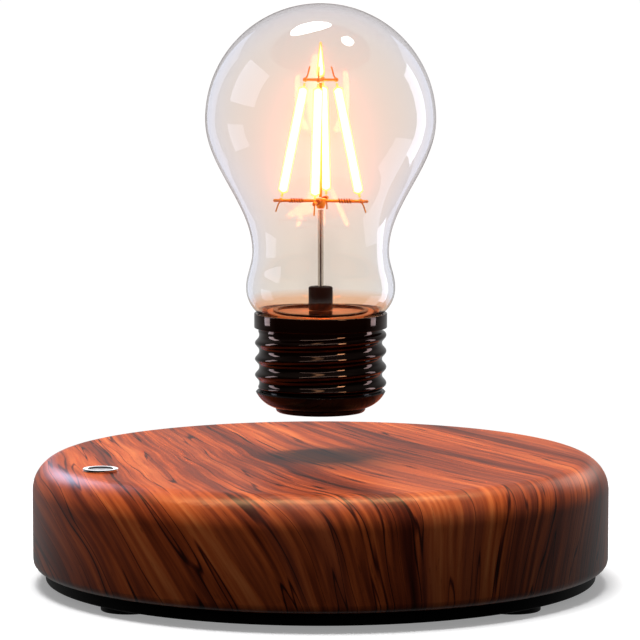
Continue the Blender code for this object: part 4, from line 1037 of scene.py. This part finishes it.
@dataclass
class FloatingCap:
    """The cap under the bulb: a lacquered bowl with its boss, the rolled thread and the collar."""

    boss_radius: float = 11.7
    boss_bottom: float = 44.8
    boss_rounding: float = 0.9
    bowl_foot: float = 46.2
    bowl_foot_radius: float = 12.4
    bowl_radius: float = 16.85
    bowl_top: float = 50.4
    bowl_chamfer: float = 0.3
    bowl_bulge: float = 0.6
    well_bottom: float = 52.8
    cup_radius: float = 15.2
    cup_inner: float = 13.9
    cup_rim: float = 61.2
    shell_bottom: float = 50.7
    root_radius: float = 16.0
    depth: float = 1.1
    pitch: float = 4.18
    first_crest: float = 1.7
    sharpness: float = 1.35
    runout: float = 1.2
    row: float = 0.1
    thread_top: float = 66.6
    shell_top: float = 70.1
    wall: float = 0.5
    collar_radius: float = 17.28
    collar_inner: float = 16.3
    collar_bottom: float = 66.9
    collar_top: float = 70.65
    collar_chamfer: float = 0.4
    collar_edges: Triple = (0.15, 0.22, 0.1)
    thread_crease_deg: float = 60.0

    def build(self) -> None:
        """Makes the bowl, the threaded shell and the collar."""
        fitting = Fitting(Body.BULB, ("cap_base",), "cap_gloss_plastic")
        fitting.fit("lacquered_bowl", Workpiece().turn(self._bowl_profile(), Facets.CAP), GLOSS_ABS)
        shell = Workpiece().turn(self._shell_profile(), Facets.THREAD, closed=True)
        for vertex in shell.bm.verts:
            self._raise(vertex)
        bmesh.ops.recalc_face_normals(shell.bm, faces=shell.bm.faces)
        fitting = Fitting(Body.BULB, ("cap_shell",), "cap_metal")
        fitting.fit("threaded_shell", shell, BLACK_NICKEL, self.thread_crease_deg)
        low, high, inner = self.collar_edges
        outline = [
            (self.collar_inner, self.collar_bottom), (self.collar_radius, self.collar_bottom, low),
            (self.collar_radius, self.collar_top, high),
            (self.collar_inner + self.collar_chamfer, self.collar_top, inner),
            (self.collar_inner, self.collar_top - self.collar_chamfer),
        ]
        ring = Workpiece().turn(outline, Facets.CAP, closed=True)
        Fitting(Body.BULB, ("cap_collar",), "cap_metal").fit("bright_collar", ring, BLACK_NICKEL)

    def _bowl_profile(self) -> list[Point]:
        """The bowl, whose flank bulges out on one arc from its foot to its edge.

        Returns:
            The profile, from the boss to the well inside.
        """
        foot = Vector((self.bowl_foot_radius, self.bowl_foot))
        edge = Vector((self.bowl_radius, self.bowl_top - self.bowl_chamfer))
        chord = edge - foot
        bowed = (chord.length**2 / 4 + self.bowl_bulge**2) / (2 * self.bowl_bulge)
        centre = foot + chord / 2 + Vector((-chord.y, chord.x)).normalized() * (bowed - self.bowl_bulge)
        spokes = (foot - centre, edge - centre)
        lowest, highest = (math.degrees(math.atan2(spoke.y, spoke.x)) for spoke in spokes)
        return [
            (0, self.boss_bottom), (self.boss_radius, self.boss_bottom, self.boss_rounding),
            (self.boss_radius, self.bowl_foot), *arc(tuple(centre), bowed, lowest, highest, 14),
            (self.bowl_radius - self.bowl_chamfer, self.bowl_top), (self.cup_radius, self.bowl_top),
            (self.cup_radius, self.cup_rim), (self.cup_inner, self.cup_rim),
            (self.cup_inner, self.well_bottom), (0, self.well_bottom),
        ]

    def _shell_profile(self) -> list[Point]:
        """The shell before its thread is rolled: a straight wall with close rows.

        Returns:
            The profile, up the outside and down the inside.
        """
        height = self.thread_top - self.shell_bottom
        rows = int(height / self.row)
        outer = [(self.root_radius, self.shell_bottom + height * i / rows) for i in range(rows + 1)]
        inner, top = self.root_radius - self.wall, self.shell_top
        return [*outer, (self.root_radius, top), (inner, top), (inner, self.shell_bottom)]

    def _raise(self, vertex: bmesh.types.BMVert) -> None:
        """Moves a point of the wall out to the rolled, right-handed thread, which runs out at both ends.

        Args:
            vertex: The point, which stays where it is on the inside and above the thread.
        """
        across = vertex.co.xy.length
        if across < self.root_radius - 0.01 or vertex.co.z > self.thread_top:
            return
        turn = math.atan2(vertex.co.y, vertex.co.x) / math.tau
        crest = self.shell_bottom + self.first_crest + self.pitch * turn
        ridge = ((1 + math.cos(math.tau * (vertex.co.z - crest) / self.pitch)) / 2) ** self.sharpness
        from_end = min(vertex.co.z - self.shell_bottom, self.thread_top - vertex.co.z) / self.runout
        fade = (1 - math.cos(math.pi * max(0.0, min(1.0, from_end)))) / 2
        vertex.co.xy *= (self.root_radius + self.depth * ridge * fade) / across


@dataclass
class GlassEnvelope:
    """The blown bulb: dome, flank, waist, lower bulge and the neck inside the cap."""

    globe_height: float = 120.98
    globe_radius: float = 29.85
    waist: Pair = (17.7, 86.65)
    bulge: Pair = (19.35, 77.25)
    bulge_curve: float = 8.5
    neck_radius: float = 15.2
    neck_end: float = 64.2
    wall: float = 0.8
    crease_deg: float = 80.0

    def build(self) -> None:
        """Turns the outline, which no operator makes by itself, and gives it its wall inwards."""
        centre = (self.bulge[0] - self.bulge_curve, self.bulge[1])
        neck_turn = -math.degrees(math.acos((self.neck_radius - centre[0]) / self.bulge_curve))
        outline = [
            *arc((0, self.globe_height), self.globe_radius, 90, 0, 40),
            *eased((self.globe_radius, self.globe_height), self.waist, 40),
            *eased(self.waist, self.bulge, 14),
            *arc(centre, self.bulge_curve, 0, neck_turn, 14)[1:],
            (self.neck_radius, self.neck_end),
        ]
        fitting = Fitting(Body.BULB, ("glass_envelope",), "glass")
        glass = fitting.fit("blown_bulb", Workpiece().turn(outline, Facets.BODY), GLASS, self.crease_deg)
        wall = glass.modifiers.new("wall", "SOLIDIFY")
        wall.thickness, wall.offset = self.wall * MM, -1


@dataclass
class StemAndDeck:
    """The spun copper deck in the neck, and the black post with the bright rod in it."""

    deck_radius: float = 14.1
    deck_top: float = 70.95
    deck_edge: float = 0.3
    deck_thickness: float = 0.8
    skirt_wall: float = 1.0
    ring_radii: Pair = (11.2, 12.5)
    ring_heights: Pair = (70.85, 71.35)
    ring_edge: float = 0.15
    flange_radius: float = 15.2
    flange: Pair = (63.1, 63.9)
    post_radius: float = 3.15
    post: Pair = (71.25, 77.55)
    post_rounding: float = 0.5
    socket_radii: Pair = (0.95, 1.1)
    socket_depth: float = 0.4
    socket_edge: float = 0.1
    rod_radius: float = 0.75
    rod: Pair = (97.75, 74.85)
    rod_rounding: float = 0.15

    def build(self) -> None:
        """Turns the deck with its dark ring, the post and the rod."""
        skirt, under = self.deck_radius - self.skirt_wall, self.deck_top - self.deck_thickness
        bottom, top = self.flange
        outline = [
            (0, self.deck_top), (self.deck_radius, self.deck_top, self.deck_edge), (self.deck_radius, top),
            (self.flange_radius, top), (self.flange_radius, bottom), (skirt, bottom), (skirt, under),
            (0, under),
        ]
        deck = Workpiece().turn(outline, Facets.CAP)
        fitting = Fitting(Body.BULB, ("cap_deck",), "deck_copper")
        fitting.fit("copper_deck", deck, DECK_COPPER)
        (inner, outer), (bottom, top) = self.ring_radii, self.ring_heights
        ring = Workpiece().turn(
            [(inner, bottom), (inner, top, self.ring_edge), (outer, top, self.ring_edge), (outer, bottom)],
            Facets.CAP,
            closed=True,
        )
        fitting.fit("dark_deck_ring", ring, BLACK_NICKEL)
        (inner, outer), (bottom, top) = self.socket_radii, self.post
        outline = [
            (0, top - self.socket_depth), (inner, top - self.socket_depth), (outer, top, self.socket_edge),
            (self.post_radius, top, self.post_rounding), (self.post_radius, bottom), (0, bottom),
        ]
        post = Workpiece().turn(outline, Facets.POST)
        Fitting(Body.BULB, ("stem_post",), "post_plastic").fit("black_post", post, POST_PLASTIC)
        rod = Workpiece().rod(self.rod_radius, *self.rod, Facets.PIN, self.rod_rounding)
        Fitting(Body.BULB, ("stem_rod",), "nickel").fit("bright_rod", rod, NICKEL)


@dataclass(frozen=True)
class Spider:
    """A hub with four arms. Each has a knob where a filament ends, and a hooked wire that leaves it."""

    hub: tuple[Point, ...]
    height: float
    root: float
    reach: float
    arm_end: tuple[float, ...]
    seat: float
    hook: tuple[Pair, Pair]
    shoulder: float = 0.0
    arm: float = 0.4
    knob: float = 0.6
    hook_wire: float = 0.2

    def made(self) -> Workpiece:
        """Makes the hub and then each side's arm, knob and hook.

        Returns:
            The spider.
        """
        work = Workpiece().turn(self.hub, Facets.SCREW)
        for side in Side:
            tip, seat = side.at(self.reach, self.height), side.at(self.seat, self.height)
            shoulder = [tip - tip.normalized() * self.shoulder] if self.shoulder else []
            work.sweep([side.at(self.root, self.height), *shoulder, tip], [self.arm, *self.arm_end])
            work.ball(self.knob, seat)
            work.sweep([seat, *(side.at(*point) for point in self.hook)], [self.hook_wire] * 3, 10)
        return work


LOWER_SPIDER = Spider(
    hub=((0, 98.05), (0.85, 98.05, 0.2), (1.45, 99.45), (1.45, 100.65, 0.2), (0, 100.65)),
    height=100.05, root=0.5, reach=12.3, arm_end=(0.4, 0.3), seat=10.4,
    hook=((11.1, 99.05), (11.8, 97.05)), shoulder=0.1,
)
UPPER_SPIDER = Spider(
    hub=((0, 130.65), (0.9, 130.65, 0.15), (0.9, 131.65, 0.15), (0, 131.65)),
    height=131.15, root=0.3, reach=4.6, arm_end=(0.32,), seat=4.0, hook=((3.4, 132.3), (2.8, 134.55)),
)


@dataclass
class FilamentFrame:
    """Both gold-plated spiders, with wound arms and hooked ends, and the wire between their hubs."""

    winding: Pair = (4.7, 8.1)
    winding_turns: int = 5
    winding_radius: float = 0.5
    winding_wire: float = 0.17
    wire: float = 0.4
    wire_ends: Pair = (130.35, 100.95)

    def build(self) -> None:
        """Makes the two spiders, their windings and the support wire."""
        windings = Workpiece()
        for side in Side:
            start, end = (side.at(radius, LOWER_SPIDER.height) for radius in self.winding)
            windings.coil(start, end, self.winding_turns, self.winding_radius, self.winding_wire)
        fitting = Fitting(Body.BULB, ("lower_spider",), "gold_wire")
        fitting.fit("gold_spider_lower", LOWER_SPIDER.made(), GOLD_WIRE)
        fitting.fit("spider_windings", windings, WINDING)
        fitting = Fitting(Body.BULB, ("upper_spider",), "gold_wire")
        fitting.fit("gold_spider_upper", UPPER_SPIDER.made(), GOLD_WIRE)
        wire = Workpiece().rod(self.wire, *self.wire_ends, Facets.WIRE)
        Fitting(Body.BULB, ("support_wire",), "gold_wire").fit("gold_support_wire", wire, GOLD_WIRE)


@dataclass
class LightFilaments:
    """Four slanted filaments and the short upright one. Each is a line of chips in an amber skin."""

    foot: Pair = (10.4, 100.05)
    head: Pair = (4.0, 131.15)
    gap: float = 0.9
    pin: float = 0.3
    pin_length: float = 0.9
    taper: float = 0.6
    radius: float = 1.25
    core: float = 1.05
    core_end: float = 0.3
    core_overlap: Pair = (0.2, 0.3)
    tip: Pair = (131.95, 140.95)
    crease_deg: float = 50.0

    def build(self) -> None:
        """Makes the five filaments."""
        before, after = self.core_overlap
        inset = self.pin_length + self.taper
        for side in Side:
            start, end = side.at(*self.foot), side.at(*self.head)
            line = (end - start).normalized()
            start, end = start + line * self.gap, end - line * self.gap
            length = (end - start).length
            skin_at = [0, self.pin_length, inset, length - inset, length - self.pin_length, length]
            core_at = [inset - before, inset + after, length - inset - after, length - inset + before]
            skin_radii = [self.pin, self.pin, self.radius, self.radius, self.pin, self.pin]
            core_radii = [self.core_end, self.core, self.core, self.core_end]
            skin = Workpiece().sweep([start + line * s for s in skin_at], skin_radii, 24)
            core = Workpiece().sweep([start + line * s for s in core_at], core_radii, 16)
            self._fit(side.name.lower(), skin, core)
        low, high = self.tip
        skin = Workpiece().turn(
            [(0, high), (0.3, high - 0.2), (1.1, low + 1.2, 0.5), (0.9, low, 0.2), (0, low)], Facets.PIN
        )
        core = Workpiece().turn(
            [(0, high - 0.8), (0.75, low + 1.3, 0.4), (0.5, low + 0.4), (0, low + 0.3)], Facets.WIRE
        )
        self._fit("tip", skin, core)

    def _fit(self, name: str, skin: Workpiece, core: Workpiece) -> None:
        """Fits a filament's skin and its chips.

        Args:
            name: The filament's name.
            skin: The amber skin.
            core: The line of chips.
        """
        fitting = Fitting(Body.BULB, (f"filament_{name}",), "filament")
        fitting.fit(f"filament_{name}_skin", skin, COATING, self.crease_deg)
        fitting.fit(f"filament_{name}_chips", core, CHIPS, self.crease_deg)


WORKS = {
    "electromagnet": COIL, "coil_lead": COIL, "transmit_coil": FLAT_COIL, "receiver_coil": FLAT_COIL,
    "magnet_core": IRON, "ring_magnet": FERRITE, "coil_carrier": FERRITE, "main_board": BOARD,
    "rectifier_board": BOARD, "board_capacitor": SLEEVE, "rectifier_capacitor": SLEEVE,
    "board_screw": ZINC, "touch_nut": ZINC, "float_magnet": NICKEL,
}


@dataclass
class HiddenWorks:
    """The nodes inside base and cap, which keep their CAD shape and get their finishes here."""

    nodes: dict

    def dress(self) -> None:
        """Gives each hidden node the finish that WORKS has for the start of its name."""
        for name, node in self.nodes.items():
            if not node.hide_render:
                finish = next((WORKS[start] for start in WORKS if name.startswith(start)), NYLON)
                node.data.materials.clear()
                node.data.materials.append(finish.material())
                Fitting.made.setdefault("works", []).append(node)
                LOG.info("%s keeps its CAD shape in %s", name, finish.name)


# Studio


WHITE = "#ffffff"
COOL = "#e6eaff"
ON_GLASS = ("glass",)
ON_WOOD = ("wood",)
ON_CAP = ("cap_metal", "cap_gloss_plastic")
ON_BASE = ("wood", "tray_plastic", "rubber", "zinc_steel", "bright_bezel", "black_moulding")
INSIDE = ("deck_copper", "post_plastic", "gold_wire", "nickel", "filament", "works")


@dataclass(frozen=True)
class Softbox:
    """A studio lamp that looks at the bulb. It lights the pieces of the slots that it names, or all."""

    name: str
    toward: Triple
    distance: float
    size: Pair
    radiance: float
    colour: str
    slots: tuple[str, ...]
    rays: Rays = Rays.ACCENT
    shape: str = "RECTANGLE"

    def light(self, target: Vector) -> None:
        """Adds the lamp.

        Args:
            target: What it looks at.
        """
        data = bpy.data.lights.new(self.name, "AREA")
        data.shape, data.size, data.size_y = self.shape, self.size[0], self.size[1]
        data.energy = self.radiance * math.pi * self.size[0] * self.size[1]
        data.color = linear(self.colour)[:3]
        lamp = bpy.data.objects.new(self.name, data)
        back = Vector(self.toward).normalized()
        lamp.location = target + back * self.distance
        lamp.rotation_euler = back.to_track_quat("Z", "Y").to_euler()
        lamp.visible_camera = False
        lamp.visible_glossy, lamp.visible_transmission, lamp.visible_diffuse = self.rays.value
        if self.slots:
            lit = bpy.data.collections.new(self.name)
            for slot in self.slots:
                for piece in Fitting.made.get(slot, []):
                    lit.objects.link(piece)
            lamp.light_linking.receiver_collection = lit
        bpy.context.scene.collection.objects.link(lamp)


SOFTBOXES = [
    Softbox("softbox_over", (-0.116, 0.27, 0.95), 0.8, (0.38, 0.22), 14.0, WHITE, ON_GLASS, shape="ELLIPSE"),
    Softbox(
        "softbox_front_over", (0.32, 0.02, 0.94), 0.8, (0.17, 0.13), 14.0, WHITE, ON_GLASS, shape="ELLIPSE"
    ),
    Softbox("softbox_left", (-0.93, -0.05, 0.46), 0.8, (0.5, 0.42), 2.4, COOL, ON_GLASS),
    Softbox("softbox_left_low", (-0.93, 0.05, -0.24), 0.75, (0.3, 0.3), 1.8, COOL, ON_GLASS),
    Softbox("softbox_right", (0.87, 0.47, 0.0), 0.75, (0.24, 0.75), 4.0, COOL, ON_GLASS),
    Softbox("softbox_right_low", (0.86, 0.09, -0.5), 0.75, (0.36, 0.36), 1.6, COOL, ON_GLASS),
    Softbox("strip_front_high", (0.0, -0.62, 0.78), 0.8, (1.1, 0.05), 10.0, WHITE, ON_CAP),
    Softbox("cap_box_warm", (0.60, -0.74, 0.45), 0.7, (0.16, 0.2), 30.0, "#ffd9a8", ON_CAP),
    Softbox("cap_box_left", (-0.95, 0.26, 0.2), 0.75, (0.2, 0.6), 9.0, "#e6eeff", ON_CAP),
    Softbox("cap_box_right", (0.96, 0.22, 0.2), 0.75, (0.18, 0.6), 8.0, "#eef0ff", ON_CAP),
    Softbox("cap_box_over", (0.1, -0.1, 1.0), 0.8, (0.8, 0.1), 4.0, "#ffe2b8", ON_CAP),
    Softbox("rim_left", (-0.62, 0.78, 0.05), 0.9, (0.4, 0.9), 0.9, "#d4e0ff", ON_GLASS),
    Softbox("rim_right", (0.66, 0.75, 0.05), 0.9, (0.4, 0.9), 0.9, "#d4e0ff", ON_GLASS),
    Softbox("strip_over_wood", (-0.1, 0.24, 0.95), 0.8, (1.0, 0.07), 60.0, "#ffcf94", ON_WOOD),
    Softbox("window_left", (-0.49, 0.81, 0.34), 0.8, (0.24, 0.24), 9.0, "#dcdcff", ON_WOOD),
    Softbox("window_right", (0.55, 0.8, 0.3), 0.8, (0.3, 0.3), 2.5, "#ffe9dc", ON_WOOD),
    Softbox("switch_card", (0.0, 1.0, 0.1), 0.8, (0.8, 0.3), 1.3, WHITE, ("bright_bezel",)),
    Softbox("fill_over", (-0.05, -0.08, 1.0), 0.9, (0.4, 0.4), 7.0, "#fff0dc", ON_BASE + INSIDE, Rays.NONE),
    Softbox(
        "fill_front", (-0.25, -0.75, 0.6), 0.9, (0.6, 0.5), 2.0, WHITE, ON_BASE + ON_CAP + INSIDE, Rays.NONE
    ),
    Softbox("lamp_over_all", (-0.06, -0.06, 1.0), 0.9, (0.55, 0.55), 13.5, WHITE, (), Rays.NONE),
]


@dataclass
class Studio:
    """The table, the lamps, the white surroundings and the camera."""

    floor_radius: float = 0.2
    aim: Triple = (0.0, 0.0, 0.11)
    camera_place: Triple = (-0.000168, -1.0, 0.17617)
    camera_pitch: float = 0.107
    lens: float = 217.70
    sensor_width: float = 36.0
    white: float = 1.02

    def build(self) -> None:
        """Sets the whole studio up."""
        scene = bpy.context.scene
        scene.view_settings.view_transform = "Standard"
        self._surroundings(scene)
        self._bloom(scene)
        self._table()
        for softbox in SOFTBOXES:
            softbox.light(Vector(self.aim))
        data = bpy.data.cameras.new("camera")
        data.lens, data.sensor_width = self.lens, self.sensor_width
        camera = bpy.data.objects.new("camera", data)
        camera.location = self.camera_place
        camera.rotation_euler = (math.pi / 2 - self.camera_pitch, 0, 0)
        scene.collection.objects.link(camera)
        scene.camera = camera

    def _surroundings(self, scene: bpy.types.Scene) -> None:
        """White behind what is seen, and for reflections a light wall behind and a dim room in front.
        Mirror images inside the glass keep most of the white, except from straight in front.

        Args:
            scene: The scene that gets the world.
        """
        world = bpy.data.worlds.new("studio")
        world.use_nodes = True
        scene.world = world
        draw = Draw(world.node_tree)
        toward = draw.add("SeparateXYZ", {0: draw.add("TexCoord").outputs["Generated"]}).outputs
        path = draw.add("LightPath").outputs
        wall = draw.span(toward["Y"], (-0.1, 0.75), (0.02, 0.35))
        sky = draw.span(toward["Z"], (0.1, 0.9), (0.0, 0.15))
        room = draw.calc("MAXIMUM", wall, sky)
        loss = draw.span(toward["Y"], (-0.95, -0.75), (1.0, 0.15))
        mirrored = draw.calc("MULTIPLY", path["Glossy Depth"], loss)
        straight = draw.calc("SUBTRACT", path["Is Transmission Ray"], mirrored, use_clamp=True)
        clear = draw.calc("SUBTRACT", straight, path["Diffuse Depth"], use_clamp=True)
        seen = draw.calc("MAXIMUM", path["Is Camera Ray"], clear)
        level = draw.add("Mix", {0: seen, 2: room, 3: self.white}).outputs[0]
        light = draw.add("Background", {"Color": linear(WHITE), "Strength": level}).outputs[0]
        draw.add("OutputWorld", {"Surface": light})

    def _bloom(self, scene: bpy.types.Scene) -> None:
        """The camera's own glow round the white-hot filaments.

        Args:
            scene: The scene whose picture gets it.
        """
        scene.use_nodes = True
        draw = Draw(scene.node_tree)
        glow = {
            "Image": draw.add("CompositorNodeRLayers").outputs["Image"],
            "Threshold": 2.0, "Strength": 0.8, "Size": 0.22, "Tint": linear("#ffac60"),
        }
        glare = draw.add("CompositorNodeGlare", glow, glare_type="BLOOM")
        draw.add("CompositorNodeComposite", {"Image": glare.outputs["Image"]})

    def _table(self) -> None:
        """A round white table top under the lamp, which mirrors and bounced light leave out."""
        bm = bmesh.new()
        bmesh.ops.create_circle(bm, cap_ends=True, radius=self.floor_radius, segments=Facets.SWITCH)
        mesh = bpy.data.meshes.new("table_top")
        bm.to_mesh(mesh)
        bm.free()
        mesh.materials.append(TABLE.material())
        table = bpy.data.objects.new("table_top", mesh)
        table.visible_glossy = table.visible_diffuse = table.visible_transmission = False
        bpy.context.scene.collection.objects.link(table)


def main() -> None:
    """Builds the lamp and its studio."""
    logging.basicConfig(level=logging.INFO, format="%(name)s: %(message)s")
    switch = TouchSwitch()
    WoodenBase().build(switch.place())
    switch.build()
    parts = (BottomTray, PowerSocket, FloatingCap, GlassEnvelope, StemAndDeck, FilamentFrame, LightFilaments)
    for part in parts:
        part().build()
    HiddenWorks(frame["nodes"]).dress()
    Studio().build()


if __name__ == "__main__":
    main()
